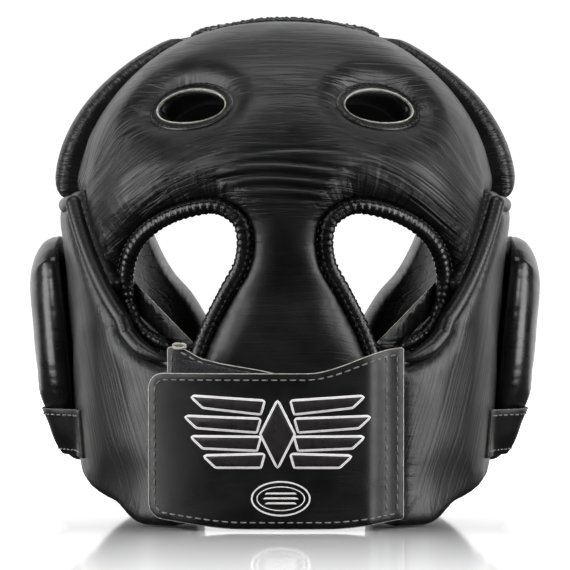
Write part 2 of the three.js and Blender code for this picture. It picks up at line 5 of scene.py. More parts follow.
import bpy
import numpy as np
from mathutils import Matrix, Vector
from mathutils.geometry import delaunay_2d_cdt
from mathutils.kdtree import KDTree


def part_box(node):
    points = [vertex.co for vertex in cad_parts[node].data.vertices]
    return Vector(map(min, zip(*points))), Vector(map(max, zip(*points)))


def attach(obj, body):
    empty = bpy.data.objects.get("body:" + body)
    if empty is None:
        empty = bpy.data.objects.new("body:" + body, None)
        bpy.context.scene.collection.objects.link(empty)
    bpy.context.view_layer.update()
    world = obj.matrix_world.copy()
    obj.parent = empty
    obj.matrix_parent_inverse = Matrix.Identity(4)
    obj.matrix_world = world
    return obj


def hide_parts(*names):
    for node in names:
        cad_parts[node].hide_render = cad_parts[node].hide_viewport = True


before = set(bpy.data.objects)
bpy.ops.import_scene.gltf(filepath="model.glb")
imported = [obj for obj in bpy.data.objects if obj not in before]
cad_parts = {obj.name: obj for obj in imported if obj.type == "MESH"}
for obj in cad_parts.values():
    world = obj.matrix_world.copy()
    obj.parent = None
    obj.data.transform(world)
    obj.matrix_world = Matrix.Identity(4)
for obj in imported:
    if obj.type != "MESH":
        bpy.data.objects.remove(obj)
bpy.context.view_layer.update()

bl_info = {
    "name": "Boxing headgear looks",
    "version": (1, 0, 0),
    "blender": (4, 5, 0),
    "location": "View3D > Sidebar > Headgear",
    "description": "Builds the padded leather, trim and stitching of a boxing headgear on its frame",
    "category": "Object",
}

MM = 0.001
GUARD = "headguard"

# Ovals of the frame in millimetres: half width, half depth, exponent and padding thickness.
SIDE = {"width": 99.5, "widening": 0.095, "top": 160.0}
WING = {"depth": 122.0, "power": 2.4, "pad": 22.0}
CHEEK = {"depth": 104.0, "deepening": 0.15, "power": 2.2, "pad": 27.0}
DOME = {"width": 107.0, "depth": 121.0, "centre": 150.0, "rise": 102.0, "power": 2.25, "pad": 22.0}
BROW = {"width": 118.0, "depth": 137.0, "centre": 160.0, "rise": 95.0, "power": 2.25, "pad": 30.0}
NAPE = {"depth": 112.0, "blend": 45.0}
ROLL = {"start": 26.0, "end": 62.0, "low": 84.0, "power": 1.4}
CROWN = (52.0, 30.0)
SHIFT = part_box("brow_cover")[1].y / MM - BROW["depth"]
S_SCALE = 110.0  # millimetres along the surface for one radian

NECK_OPENING = [
    (48, 34), (44, 60), (39, 78), (33, 94), (24.5, 111), (17.5, 124), (15.5, 137), (18, 147.5),
    (25, 154), (34, 157), (46, 155.5), (58, 151.5), (70, 144), (78, 133), (81, 120), (80, 106),
]
NECK_FOOT = [(76, 95), (70, 88.5), (63, 84.5), (57, 82)]
FACE_EDGE = [
    (0, 44), (50, 42), (79, 40), (95, 41), (103, 44.5), (114, 51.5), (125, 61), (141, 69.5), (160, 76),
]
VENT = {"x": 49.0, "z": 206.5, "opening": (20.4, 11.0), "tilt": 3.0}
EAR = {"angle": 7.0, "half_angle": 23.0, "middle": 84.0, "half": 58.0}
CLOSURE = {"left": -65.0, "right": 56.5}
LIFT = {"tab": 0.5, "loop": 2.8, "hook": 4.3, "lining": 5.8, "flap": 7.1}
CHIN = {"low": 30.0, "high": 54.0, "rear": -26.0, "sewn": 62.0, "flap_end": 106.0, "left_end": 76.0}
CHIN_LIFT = {"band": 1.0, "loop": 3.3, "hook": 4.8, "flap": 6.3}
CROWN_LIFT = {"rear": 237.8, "loop": 240.1, "hook": 241.6, "flap": 243.1}
STRAP = 2.0
TAPE = 1.2


# ---- Numbers ---------------------------------------------------------------------------------


def smooth(x):
    x = np.clip(x, 0.0, 1.0)
    return x * x * (3 - 2 * x)


def mix(a, b, share):
    return a + (b - a) * share


def ripple(x, seed=0.0):
    """A wavy line with no clear period, about -1 to 1."""
    return (
        np.sin(x + seed)
        + 0.7 * np.sin(1.73 * x + 2.1 * seed + 1.3)
        + 0.5 * np.sin(2.91 * x + 3.7 * seed + 4.1)
    ) / 2.0


def oval(width, depth, power, angle):
    x = np.abs(np.cos(angle)) / width
    y = np.abs(np.sin(angle)) / depth
    return (x**power + y**power) ** (-1 / power)


def spline(points, step=1.0):
    """Points on a smooth curve through the given ones, about step apart."""
    p = np.array(points, float)
    padded = np.vstack([2 * p[0] - p[1], p, 2 * p[-1] - p[-2]])
    out = []
    for i in range(1, len(padded) - 2):
        a, b, c, d = padded[i - 1 : i + 3]
        count = max(2, int(np.linalg.norm(c - b) / step))
        t = np.linspace(0, 1, count, endpoint=False)[:, None]
        bend, twist = 2 * a - 5 * b + 4 * c - d, 3 * b - a - 3 * c + d
        out.append(0.5 * (2 * b + (c - a) * t + bend * t**2 + twist * t**3))
    return np.vstack([*out, p[-1:]])


def resample(points, step, closed=False):
    """The same line, with points evenly spaced. Further columns are carried along."""
    p = np.array(points, float)
    if closed:
        p = np.vstack([p, p[:1]])
    run = np.concatenate([[0], np.cumsum(np.linalg.norm(np.diff(p[:, :2], axis=0), axis=1))])
    count = max(3, int(round(run[-1] / step)))
    at = np.linspace(0, run[-1], count + 1)
    out = np.stack([np.interp(at, run, p[:, k]) for k in range(p.shape[1])], axis=1)
    return out[:-1] if closed else out


def inside(points, loop):
    """Which points lie inside a closed loop."""
    x, y = points[:, 0], points[:, 1]
    hit = np.zeros(len(points), bool)
    for (ax, ay), (bx, by) in zip(loop, np.roll(loop, -1, axis=0)):
        if ay == by:
            continue
        crosses = (ay > y) != (by > y)
        hit ^= crosses & (x < (bx - ax) * (y - ay) / (by - ay) + ax)
    return hit


def nearest(points, targets):
    """For each point, the nearest target's number and its distance."""
    tree = KDTree(len(targets))
    width = targets.shape[1]
    for i, t in enumerate(targets):
        tree.insert((t[0], t[1], t[2] if width > 2 else 0.0), i)
    tree.balance()
    found = [tree.find((p[0], p[1], p[2] if width > 2 else 0.0)) for p in points]
    return np.array([f[1] for f in found], int), np.array([f[2] for f in found])


def leftward(loop):
    """Unit vectors to the left of a closed line of points."""
    along = np.roll(loop, -1, axis=0) - np.roll(loop, 1, axis=0)
    along /= np.linalg.norm(along, axis=1)[:, None] + 1e-12
    return np.stack([-along[:, 1], along[:, 0]], axis=1)


# ---- Surfaces of the frame, in millimetres ------------------------------------------------------


def shell_point(shell, theta, t, depth, nape=False):
    """A point of a rounded shell. theta is from the rear, t runs up the outside."""
    phi = np.clip((t - shell["centre"]) / shell["rise"], 0, 1.5)
    half_depth = shell["depth"]
    if nape:
        half_depth = mix(half_depth, NAPE["depth"], smooth((shell["centre"] - t) / NAPE["blend"]))
    radius = oval(shell["width"] - depth, half_depth - depth, shell["power"], theta - math.pi / 2)
    radius = radius * np.cos(phi)
    z = np.where(t < shell["centre"], t, shell["centre"] + (shell["rise"] - depth) * np.sin(phi))
    return np.stack([radius * np.sin(theta), -radius * np.cos(theta), z], axis=-1)


def dome_surface(s, t, depth):
    return shell_point(DOME, s / S_SCALE, t, depth, nape=True)


def brow_surface(s, t, depth):
    return shell_point(BROW, math.pi - s / S_SCALE, t, depth)


def side_point(angle, z, depth):
    """A point of the right side: wing behind the ear, cheek in front of it. angle is from +X."""
    width = SIDE["width"] + SIDE["widening"] * z - depth
    rear = oval(width, WING["depth"] - depth, WING["power"], angle)
    front = oval(width, CHEEK["depth"] + CHEEK["deepening"] * z - depth, CHEEK["power"], angle)
    radius = np.where(np.sin(angle) < 0, rear, front)
    return np.stack([radius * np.cos(angle), radius * np.sin(angle), z + 0 * radius], axis=-1)


def side_surface(s, t, depth):
    return side_point(s / S_SCALE, t, depth)


def from_side(angle):
    return np.degrees(np.arcsin(np.clip(np.abs(np.sin(angle)), 0, 1)))


def foot_height(angle, span=50.0):
    return 9.5 * (1 + np.cos(math.pi * np.minimum(1, from_side(angle) / span)))


def wing_foot(angle):
    return foot_height(angle, 90.0) * (1 - smooth((from_side(angle) - 43) / 12))


def roll_height(angle):
    along = np.clip((from_side(angle) - ROLL["start"]) / (ROLL["end"] - ROLL["start"]), 0, 1)
    return ROLL["low"] + (SIDE["top"] - ROLL["low"]) * (1 - along) ** ROLL["power"]


def brow_height(angle):
    return SIDE["top"] + 6.0 * smooth((from_side(angle) - 20) / 50)


def face_half_width(z):
    table = spline(FACE_EDGE)
    return np.interp(z, table[:, 0], table[:, 1])


def angle_of(x, width, depth, power):
    """Angle from the side at which an oval comes in to a half width."""
    y = depth * (1 - np.clip(x / width, 0, 1) ** power) ** (1 / power)
    return np.arctan2(y, x)


def wrap_rear(x, z, lift):
    """A point of the closure: x and z as seen from behind, lift off the wings' oval."""
    width = SIDE["width"] + SIDE["widening"] * z + lift
    y = -(WING["depth"] + lift) * (1 - (np.abs(x) / width) ** WING["power"]) ** (1 / WING["power"])
    return np.stack([x + 0 * y, y, z + 0 * y], axis=-1)


# ---- Meshes -----------------------------------------------------------------------------------


def to_row(points):
    """Millimetres of the frame's own drawing to metres of the row."""
    p = np.array(points, float)
    p[:, 1] += SHIFT
    return p * MM


def make_mesh(name, points, faces, materials, face_material=None, attributes=None):
    mesh = bpy.data.meshes.new(name)
    mesh.from_pydata(to_row(points).tolist(), [], [list(map(int, f)) for f in faces])
    for material in materials:
        mesh.materials.append(material)
    if face_material is not None:
        mesh.polygons.foreach_set("material_index", np.array(face_material, np.int32))
    mesh.polygons.foreach_set("use_smooth", np.ones(len(mesh.polygons), bool))
    for key, values in (attributes or {}).items():
        layer = mesh.attributes.new(key, "FLOAT", "POINT")
        layer.data.foreach_set("value", np.array(values, np.float32))
    mesh.validate()
    mesh.update()
    piece = bpy.data.objects.new(name, mesh)
    bpy.context.scene.collection.objects.link(piece)
    return piece


def mirrored(piece, name):
    """The left-hand copy of a right-hand piece, with its mesh mirrored."""
    mesh = piece.data.copy()
    mesh.name = name
    co = np.empty(len(mesh.vertices) * 3, np.float32)
    mesh.vertices.foreach_get("co", co)
    co = co.reshape(-1, 3)
    co[:, 0] *= -1
    mesh.vertices.foreach_set("co", co.ravel())
    mesh.flip_normals()
    copy = bpy.data.objects.new(name, mesh)
    bpy.context.scene.collection.objects.link(copy)
    return copy


def fill_loops(loops, spacing, rings=(), fine=None, keep_out=0.55):
    """Triangles that fill the first loop outside the others. Returns points, triangles and the edge count.
    fine is a box (low s, low t, high s, high t) whose points lie fine[4] apart."""
    points = [loop for loop in loops]
    edges, start = [], 0
    for loop in loops:
        n = len(loop)
        edges += [(start + i, start + (i + 1) % n) for i in range(n)]
        start += n
    border = np.vstack(points)
    inner = []
    for k, loop in enumerate(loops):
        turn = np.sum(loop[:, 0] * np.roll(loop[:, 1], -1) - np.roll(loop[:, 0], -1) * loop[:, 1])
        sign = (1 if turn > 0 else -1) * (1 if k == 0 else -1)
        for number, ring in enumerate(rings):
            moved = loop + sign * ring * leftward(loop)
            if number % 2:
                moved = 0.5 * (moved + np.roll(moved, -1, axis=0))
            inner.append((ring, moved))
    low, high = loops[0].min(0), loops[0].max(0)
    xs = np.arange(low[0], high[0], spacing)
    ys = np.arange(low[1], high[1], spacing * 0.866)
    grid = np.array([(x + (j % 2) * spacing / 2, y) for j, y in enumerate(ys) for x in xs])
    if fine is not None:
        left, bottom, right, top, step = fine
        held = (grid[:, 0] > left) & (grid[:, 0] < right) & (grid[:, 1] > bottom) & (grid[:, 1] < top)
        xs, ys = np.arange(left, right, step), np.arange(bottom, top, step * 0.866)
        small = np.array([(x + (j % 2) * step / 2, y) for j, y in enumerate(ys) for x in xs])
        grid = np.vstack([grid[~held], small])
    last = rings[-1] + spacing * keep_out if len(rings) else spacing * keep_out
    inner.append((last / 0.93, grid))
    chosen = []
    dense = np.vstack([resample(loop, 0.7, closed=True) for loop in loops])
    for distance, group in inner:
        ok = inside(group, loops[0])
        for hole in loops[1:]:
            ok &= ~inside(group, hole)
        group = group[ok]
        if len(group):
            group = group[nearest(group, dense)[1] > 0.93 * distance]
            chosen.append(group)
    everything = np.vstack([border, *chosen])
    made = delaunay_2d_cdt([Vector(p) for p in everything], edges, [], 0, 1e-7)
    points = np.array([(v.x, v.y) for v in made[0]])
    triangles = np.array([f for f in made[2] if len(f) == 3], int)
    middle = points[triangles].mean(axis=1)
    ok = inside(middle, loops[0])
    for hole in loops[1:]:
        ok &= ~inside(middle, hole)
    return points, triangles[ok], len(border)


def outward(points, faces):
    """Vertex normals of a triangle mesh."""
    p = points[faces]
    n = np.cross(p[:, 1] - p[:, 0], p[:, 2] - p[:, 0])
    out = np.zeros_like(points)
    for k in range(3):
        np.add.at(out, faces[:, k], n)
    return out / (np.linalg.norm(out, axis=1)[:, None] + 1e-12)


def pillow(name, loops, surface, pad, spacing, materials, swell=0.8, pucker=0.45,
           relief=None, lines=None, fine=None, crumple=None):
    """A closed padded panel. Each loop's points are (s, t, seam depth, roll radius, dish, gather).
    A dish of 1 slopes in gently instead of rolling over. relief(position, far) adds to the outside's
    height, and lines(position, far) gives the crease lines."""
    loops = [resample(loop, 1.9, closed=True) for loop in loops]
    rings = (0.55, 1.5, 2.8, 4.5, 6.6)
    points, triangles, border = fill_loops([l[:, :2] for l in loops], spacing, rings, fine)
    dense = [resample(np.column_stack([l, np.arange(len(l))]), 0.5, closed=True) for l in loops]
    runs = [np.arange(len(d)) * 0.5 + 1000 * k for k, d in enumerate(dense)]
    dense, run = np.vstack(dense), np.concatenate(runs)
    edge_points = surface(dense[:, 0], dense[:, 1], 0 * dense[:, 0])
    flat = surface(points[:, 0], points[:, 1], 0 * points[:, 0])
    at, far = nearest(flat, edge_points)
    far[:border] = 0
    seam, roll, dish, gather, along = *dense[at, 2:6].T, run[at]
    share = np.sqrt(1 - (1 - np.clip(far / roll, 0, 1)) ** 2)
    share = mix(share, 1 - np.exp(-np.maximum(0, far - 3.0) / (0.5 * roll)), dish)
    share_in = np.sqrt(1 - (1 - np.clip(far / (0.7 * roll), 0, 1)) ** 2)
    outer = surface(points[:, 0], points[:, 1], seam - (seam + swell) * share)
    inner = surface(points[:, 0], points[:, 1], seam + (pad - seam) * share_in)
    count = len(points)
    flip = triangles[:, ::-1]
    if np.sum(outward(outer, triangles) * (outer - inner), axis=1).mean() < 0:
        triangles, flip = flip, triangles
    folds = ripple(along * 1.25) * 0.6 + ripple(along * 0.6, 3.0) * 0.4
    height = pucker * gather * folds * np.exp(-far / (3.0 + 3.0 * gather)) * np.clip(far / 2.0, 0, 1)
    if relief is not None:
        height = height + relief(outer, far)
    outer = outer + outward(outer, triangles) * height[:, None]
    inner = inner + outward(inner, flip) * (0.3 * height * (share_in > 0.9))[:, None]
    # The inner side shares the outer side's edge points.
    keep = np.arange(border, count)
    number = np.arange(count)
    number[keep] = count + np.arange(len(keep))
    faces = np.vstack([triangles, number[flip]])
    everything = np.vstack([outer, inner[keep]])
    which = np.concatenate([np.zeros(len(triangles), int), np.ones(len(flip), int)])
    crease = lines(flat, far) if lines is not None else flat[:, 2]
    loose = crumple(flat) if crumple is not None else np.ones(count)
    values = {
        "far": np.concatenate([far, far[keep]]),
        "run": np.concatenate([along, along[keep]]),
        "crease": np.concatenate([crease, crease[keep]]),
        "along": np.concatenate([flat[:, 0] - flat[:, 1], (flat[:, 0] - flat[:, 1])[keep]]),
        "crumple": np.concatenate([loose, loose[keep]]),
        "inside": np.concatenate([np.zeros(count), np.ones(len(keep))]),
    }
    return make_mesh(name, everything, faces, materials, which, values)


def plate(name, outlines, place, thickness, spacing, materials, bevel=0.35):
    """Leather or print cut flat. outlines lists shapes, each a list of an outer loop and its holes.
    place(a, b, height) puts a point on the surface that it lies on. The cut edges take the second
    material."""
    points_all, faces, which, far_all = [], [], [], []
    for shape in outlines:
        loops = []
        for k, outline in enumerate(shape):
            loop = resample(outline, 1.6 if spacing > 2 else 0.8, closed=True)
            turn = np.sum(loop[:, 0] * np.roll(loop[:, 1], -1) - np.roll(loop[:, 0], -1) * loop[:, 1])
            loops.append(loop if (turn > 0) == (k == 0) else loop[::-1])
        small = [loop + bevel * leftward(loop) for loop in loops]
        points, triangles, border = fill_loops(small, spacing)
        loop = np.vstack(loops)
        n, count, start = len(loop), len(points), sum(len(p) for p in points_all)
        top = place(points[:, 0], points[:, 1], thickness + 0 * points[:, 0])
        bottom = place(points[:, 0], points[:, 1], 0 * points[:, 0])
        low = place(loop[:, 0], loop[:, 1], bevel + 0 * loop[:, 0])
        high = place(loop[:, 0], loop[:, 1], thickness - bevel + 0 * loop[:, 0])
        flipped = np.sum(outward(top, triangles) * (top - bottom), axis=1).mean() < 0
        if flipped:
            triangles = triangles[:, ::-1]
        points_all += [top, bottom, low, high]
        faces += [list(t + start) for t in triangles] + [list(t[::-1] + count + start) for t in triangles]
        which += [0] * (2 * len(triangles))
        rows = [np.arange(n) + count, np.arange(n) + 2 * count, np.arange(n) + 2 * count + n, np.arange(n)]
        first = 0
        for one in loops:
            m = len(one)
            for a, b in zip(rows, rows[1:]):
                for i in range(m):
                    i, j = first + i, first + (i + 1) % m
                    quad = [a[i] + start, a[j] + start, b[j] + start, b[i] + start]
                    faces.append(quad[::-1] if flipped else quad)
                    which.append(1)
            first += m
        far = nearest(points, resample(loop, 0.7, closed=True))[1]
        far_all += [far, far, np.zeros(2 * n)]
    everything = np.vstack(points_all)
    far = np.concatenate(far_all)
    values = {"far": far, "run": everything[:, 0], "crease": everything[:, 2], "along": everything[:, 0]}
    values["crumple"] = np.ones(len(everything))
    return make_mesh(name, everything, faces, materials, which, values)


def tube(name, path, radii, material, pucker=0.5, period=3.6, taper=0.0, sides=20, step=0.9,
         rough=1.0):
    """A rolled leather edge along a path, gathered into small folds. radii is (across, up)."""
    p = resample3(path, step)
    n = len(p)
    tangent = np.gradient(p, axis=0)
    tangent /= np.linalg.norm(tangent, axis=1)[:, None]
    centre = np.array([0.0, 0.0, 120.0])
    out = p - centre
    out -= np.sum(out * tangent, axis=1)[:, None] * tangent
    out /= np.linalg.norm(out, axis=1)[:, None]
    across = np.cross(tangent, out)
    run = np.arange(n) * step
    turn = np.linspace(0, 2 * math.pi, sides, endpoint=False)
    ends = np.minimum(run, run[-1] - run)
    size = np.ones(n) if taper <= 0 else np.sqrt(np.clip(ends / taper, 0.02, 1))
    fold = ripple(2 * math.pi / period * run[:, None] + 0.4 * np.sin(turn)[None, :], 1.7)
    fold = fold + 0.35 * rough * ripple(2 * math.pi / (0.45 * period) * run[:, None] + turn[None, :], 5.0)
    swell = 1 + pucker / max(radii) * fold
    ring_x = radii[0] * np.cos(turn)[None, :] * swell * size[:, None]
    ring_y = radii[1] * np.sin(turn)[None, :] * swell * size[:, None]
    body = p[:, None, :] + ring_x[:, :, None] * across[:, None, :] + ring_y[:, :, None] * out[:, None, :]
    points = np.vstack([body.reshape(-1, 3), p[:1], p[-1:]])
    faces = []
    for i in range(n - 1):
        for k in range(sides):
            m = (k + 1) % sides
            faces.append((i * sides + k, i * sides + m, (i + 1) * sides + m, (i + 1) * sides + k))
    for k in range(sides):
        m = (k + 1) % sides
        faces.append((n * sides, m, k))
        faces.append((n * sides + 1, (n - 1) * sides + k, (n - 1) * sides + m))
    along = np.concatenate([np.repeat(run, sides), [0, run[-1]]])
    around = np.concatenate([np.tile(turn * 3, n), [0, 0]])
    values = {"far": 0 * along + 5, "run": along, "crease": along, "along": around, "crumple": 0 * along + 1}
    return make_mesh(name, points, faces, [material], None, values)


def resample3(points, step):
    p = np.array(points, float)
    run = np.concatenate([[0], np.cumsum(np.linalg.norm(np.diff(p, axis=0), axis=1))])
    at = np.linspace(0, run[-1], max(4, int(run[-1] / step)))
    return np.stack([np.interp(at, run, p[:, k]) for k in range(3)], axis=1)


def stitches(name, paths, material, pitch=4.3, length=2.9, radius=0.42):
    """Rows of thread: each stitch is a small spindle that dips into the leather at its ends."""
    points, faces = [], []
    sides, rows = 6, 7
    for path in paths:
        p = resample3(path, pitch)
        for a, b in zip(p, p[1:]):
            along = b - a
            size = np.linalg.norm(along)
            if size < 0.5 * pitch:
                continue
            along = along / size
            up = a - np.array([0.0, 0.0, 110.0])
            up -= np.dot(up, along) * along
            up /= np.linalg.norm(up)
            side = np.cross(along, up)
            start = len(points)
            for r in range(rows):
                f = r / (rows - 1)
                lift = 0.16 * math.sin(math.pi * f) - 0.1
                wide = radius * math.sin(math.pi * (0.12 + 0.76 * f)) ** 0.5
                centre = a + along * (0.5 * (size - length) + f * length) + up * lift
                for k in range(sides):
                    turn = 2 * math.pi * k / sides
                    points.append(centre + wide * (math.cos(turn) * side + math.sin(turn) * up))
            for r in range(rows - 1):
                for k in range(sides):
                    m = (k + 1) % sides
                    i, j = start + r * sides, start + (r + 1) * sides
                    faces.append((i + k, i + m, j + m, j + k))
            faces.append(tuple(start + k for k in reversed(range(sides))))
            faces.append(tuple(start + (rows - 1) * sides + k for k in range(sides)))
    return make_mesh(name, points, faces, [material])


def attribute(piece, name):
    values = np.empty(len(piece.data.vertices), np.float32)
    piece.data.attributes[name].data.foreach_get("value", values)
    return values


EASING = 24  # rounds of smoothing that turn the cloth's small buckles into one soft swell


def inflate(piece, pressure, spare, most, frames=20):
    """Blows a panel up as cloth held along its seams and on its inner side, and keeps the shape.
    spare is how much wider the leather is cut; most is how far a point may move, in millimetres."""
    held = np.maximum(attribute(piece, "inside"), np.clip(1.4 - attribute(piece, "far"), 0, 1))
    group = piece.vertex_groups.new(name="held")
    for i, weight in enumerate(held):
        if weight > 0.001:
            group.add([i], float(min(1.0, weight)), "REPLACE")
    before = np.empty(len(piece.data.vertices) * 3)
    piece.data.vertices.foreach_get("co", before)
    cloth = piece.modifiers.new("cloth", "CLOTH")
    rules = cloth.settings
    rules.quality = 5
    rules.mass = 0.4
    rules.tension_stiffness = rules.compression_stiffness = 25.0
    rules.shear_stiffness = 12.0
    rules.bending_stiffness = 0.4
    rules.air_damping = 4.0
    rules.use_pressure = True
    rules.uniform_pressure_force = pressure
    rules.shrink_min = -spare
    rules.vertex_group_mass = "held"
    rules.pin_stiffness = 8.0
    rules.effector_weights.gravity = 0
    cloth.collision_settings.use_collision = False
    scene = bpy.context.scene
    for frame_number in range(1, frames + 1):
        scene.frame_set(frame_number)
    result = piece.evaluated_get(bpy.context.evaluated_depsgraph_get()).to_mesh()
    after = np.empty(len(before))
    result.vertices.foreach_get("co", after)
    piece.modifiers.remove(cloth)
    scene.frame_set(1)
    move = (after - before).reshape(-1, 3)
    ends = np.empty(2 * len(piece.data.edges), np.int32)
    piece.data.edges.foreach_get("vertices", ends)
    a, b = ends[0::2], ends[1::2]
    count = np.bincount(ends, minlength=len(move))[:, None]
    for _ in range(EASING):
        total = np.zeros_like(move)
        for axis in range(3):
            total[:, axis] = np.bincount(a, move[b, axis], len(move))
            total[:, axis] += np.bincount(b, move[a, axis], len(move))
        move = 0.4 * move + 0.6 * total / count
        move *= (held < 1)[:, None]
    size = np.linalg.norm(move, axis=1)[:, None]
    move *= np.where(size > most * MM, most * MM / np.maximum(size, 1e-9), 1)
    piece.data.vertices.foreach_set("co", (before.reshape(-1, 3) + move).ravel())
    piece.data.update()
    piece.vertex_groups.remove(group)
    return piece


# ---- Materials ----------------------------------------------------------------------------------


class Nodes:
    """Short names for building a material's nodes."""

    def __init__(self, name):
        self.material = bpy.data.materials.new(name)
        self.material.use_nodes = True
        self.tree = self.material.node_tree
        self.shader = self.tree.nodes["Principled BSDF"]

    def add(self, kind, **inputs):
        node = self.tree.nodes.new(kind)
        for key, value in inputs.items():
            socket = node.inputs[key.replace("_", " ")]
            if isinstance(value, bpy.types.NodeSocket):
                self.tree.links.new(value, socket)
            else:
                socket.default_value = value
        return node

    def value(self, attribute):
        node = self.tree.nodes.new("ShaderNodeAttribute")
        node.attribute_name = attribute
        return node.outputs["Fac"]

    def math(self, operation, a, b=0.0, c=0.0):
        node = self.tree.nodes.new("ShaderNodeMath")
        node.operation = operation
        for i, value in enumerate((a, b, c)):
            if isinstance(value, bpy.types.NodeSocket):
                self.tree.links.new(value, node.inputs[i])
            else:
                node.inputs[i].default_value = value
        return node.outputs[0]

    def between(self, value, low, high, to_low=0.0, to_high=1.0):
        node = self.tree.nodes.new("ShaderNodeMapRange")
        node.interpolation_type = "SMOOTHSTEP"
        self.tree.links.new(value, node.inputs["Value"])
        node.inputs["From Min"].default_value = low
        node.inputs["From Max"].default_value = high
        node.inputs["To Min"].default_value = to_low
        node.inputs["To Max"].default_value = to_high
        return node.outputs["Result"]

    def noise(self, vector, scale, detail=3.0, rough=0.55, distortion=0.0):
        node = self.add(
            "ShaderNodeTexNoise", Scale=scale, Detail=detail, Roughness=rough, Distortion=distortion
        )
        if vector is not None:
            self.tree.links.new(vector, node.inputs["Vector"])
        return node.outputs["Fac"]

    def place(self):
        return self.tree.nodes.new("ShaderNodeTexCoord").outputs["Object"]

    def vector(self, x, y, z=0.0):
        node = self.tree.nodes.new("ShaderNodeCombineXYZ")
        for i, value in enumerate((x, y, z)):
            if isinstance(value, bpy.types.NodeSocket):
                self.tree.links.new(value, node.inputs[i])
            else:
                node.inputs[i].default_value = value
        return node.outputs[0]

    def mix(self, share, a, b):
        node = self.tree.nodes.new("ShaderNodeMix")
        node.data_type = "RGBA"
        self.tree.links.new(share, node.inputs[0])
        node.inputs[6].default_value = (*a, 1)
        node.inputs[7].default_value = (*b, 1)
        return node.outputs[2]

    def bump(self, height, distance, strength, under=None):
        node = self.add("ShaderNodeBump", Strength=strength, Distance=distance, Height=height)
        if under is not None:
            self.tree.links.new(under, node.inputs["Normal"])
        return node.outputs[0]

    def finish(self, colour=None, roughness=None, normal=None, **settings):
        for socket, value in (("Base Color", colour), ("Roughness", roughness), ("Normal", normal)):
            if value is not None:
                self.tree.links.new(value, self.shader.inputs[socket])
        for key, value in settings.items():
            self.shader.inputs[key.replace("_", " ")].default_value = value
        return self.material


def leather(name, dark, light, gloss, wrinkle=0.5, size=(0.02, 0.2), grain=0.3, coat=0.25, gather=0.5):
    """Black leather: creases that follow the panel, gathers beside its seams and a fine grain.
    size is how many creases come to a millimetre along and across them."""
    n = Nodes(name)
    place = n.place()
    along = n.math("MULTIPLY", n.value("along"), size[0])
    across = n.math("MULTIPLY", n.value("crease"), size[1])
    swell = n.noise(n.vector(along, across), 1.0, 2.0, 0.45, 0.35)
    groove = n.between(n.math("ABSOLUTE", n.math("SUBTRACT", swell, 0.5)), 0.0, 0.045)
    closer = n.vector(n.math("MULTIPLY", along, 1.9), n.math("MULTIPLY", across, 2.3), 7.0)
    finer = n.noise(closer, 1.0, 1.0, 0.4, 0.3)
    thin = n.between(n.math("ABSOLUTE", n.math("SUBTRACT", finer, 0.48)), 0.0, 0.04)
    patches = n.between(n.noise(place, 14.0, 2.0, 0.5), 0.35, 0.62, 0.15, 1.0)
    height = n.math("ADD", n.math("MULTIPLY", swell, 1.6), n.math("MULTIPLY", groove, 0.35))
    patches = n.math("MULTIPLY", patches, n.value("crumple"))
    height = n.math("MULTIPLY", n.math("ADD", height, n.math("MULTIPLY", thin, 0.16)), patches)
    seams = n.vector(n.math("MULTIPLY", n.value("run"), 0.42), n.math("MULTIPLY", n.value("far"), 0.045))
    gathers = n.noise(seams, 1.0, 2.0, 0.5, 0.2)
    near = n.between(n.value("far"), 1.0, 17.0, 1.0, 0.0)
    cells = n.add("ShaderNodeTexVoronoi", Vector=place, Scale=1150.0)
    pores = n.noise(place, 2300.0, 2.0, 0.6)
    pebbles = n.math("ADD", cells.outputs["Distance"], n.math("MULTIPLY", pores, 0.5))
    first = n.bump(pebbles, 0.00008, grain)
    second = n.bump(height, 0.0011, wrinkle, first)
    gathers = n.math("MULTIPLY", gathers, n.math("MULTIPLY", near, n.value("crumple")))
    third = n.bump(gathers, 0.0016, gather, second)
    mottled = n.noise(place, 55.0, 4.0, 0.6)
    colour = n.mix(n.between(mottled, 0.3, 0.75), dark, light)
    rub = n.between(mottled, 0.25, 0.8, -0.05, 0.07)
    rough = n.math("ADD", n.math("ADD", rub, gloss), n.math("MULTIPLY", groove, -0.04))
    return n.finish(colour, rough, third, Coat_Weight=coat, Coat_Roughness=0.2, Specular_IOR_Level=0.5)


def raw_edge(name, pale=1.0):
    n = Nodes(name)
    place = n.place()
    fibres = n.noise(place, 1400.0, 3.0, 0.7)
    colour = n.mix(n.between(n.noise(place, 300.0, 3.0), 0.3, 0.7),
                   (0.52 * pale, 0.49 * pale, 0.43 * pale), (0.78 * pale, 0.76 * pale, 0.7 * pale))
    return n.finish(colour, n.between(fibres, 0.3, 0.7, 0.75, 0.95), n.bump(fibres, 0.0003, 0.8))


def thread(name, colour):
    n = Nodes(name)
    place = n.place()
    twist = n.add("ShaderNodeTexWave", Vector=place, Scale=900.0, Distortion=2.0)
    dim = tuple(0.7 * c for c in colour)
    shade = n.mix(n.noise(place, 700.0, 2.0), dim, colour)
    rough = n.between(n.noise(place, 900.0), 0.3, 0.7, 0.5, 0.75)
    return n.finish(shade, rough, n.bump(twist.outputs["Fac"], 0.0002, 0.7))


def fuzz(name, size):
    """Loop or hook tape: a dense black pile."""
    n = Nodes(name)
    place = n.place()
    pile = n.noise(place, size, 5.0, 0.75, 1.2)
    colour = n.mix(n.between(pile, 0.42, 0.75), (0.006, 0.006, 0.008), (0.12, 0.12, 0.14))
    rough = n.between(pile, 0.3, 0.7, 0.85, 1.0)
    return n.finish(colour, rough, n.bump(pile, 0.0012, 1.0), Sheen_Weight=0.35, Sheen_Roughness=0.4)


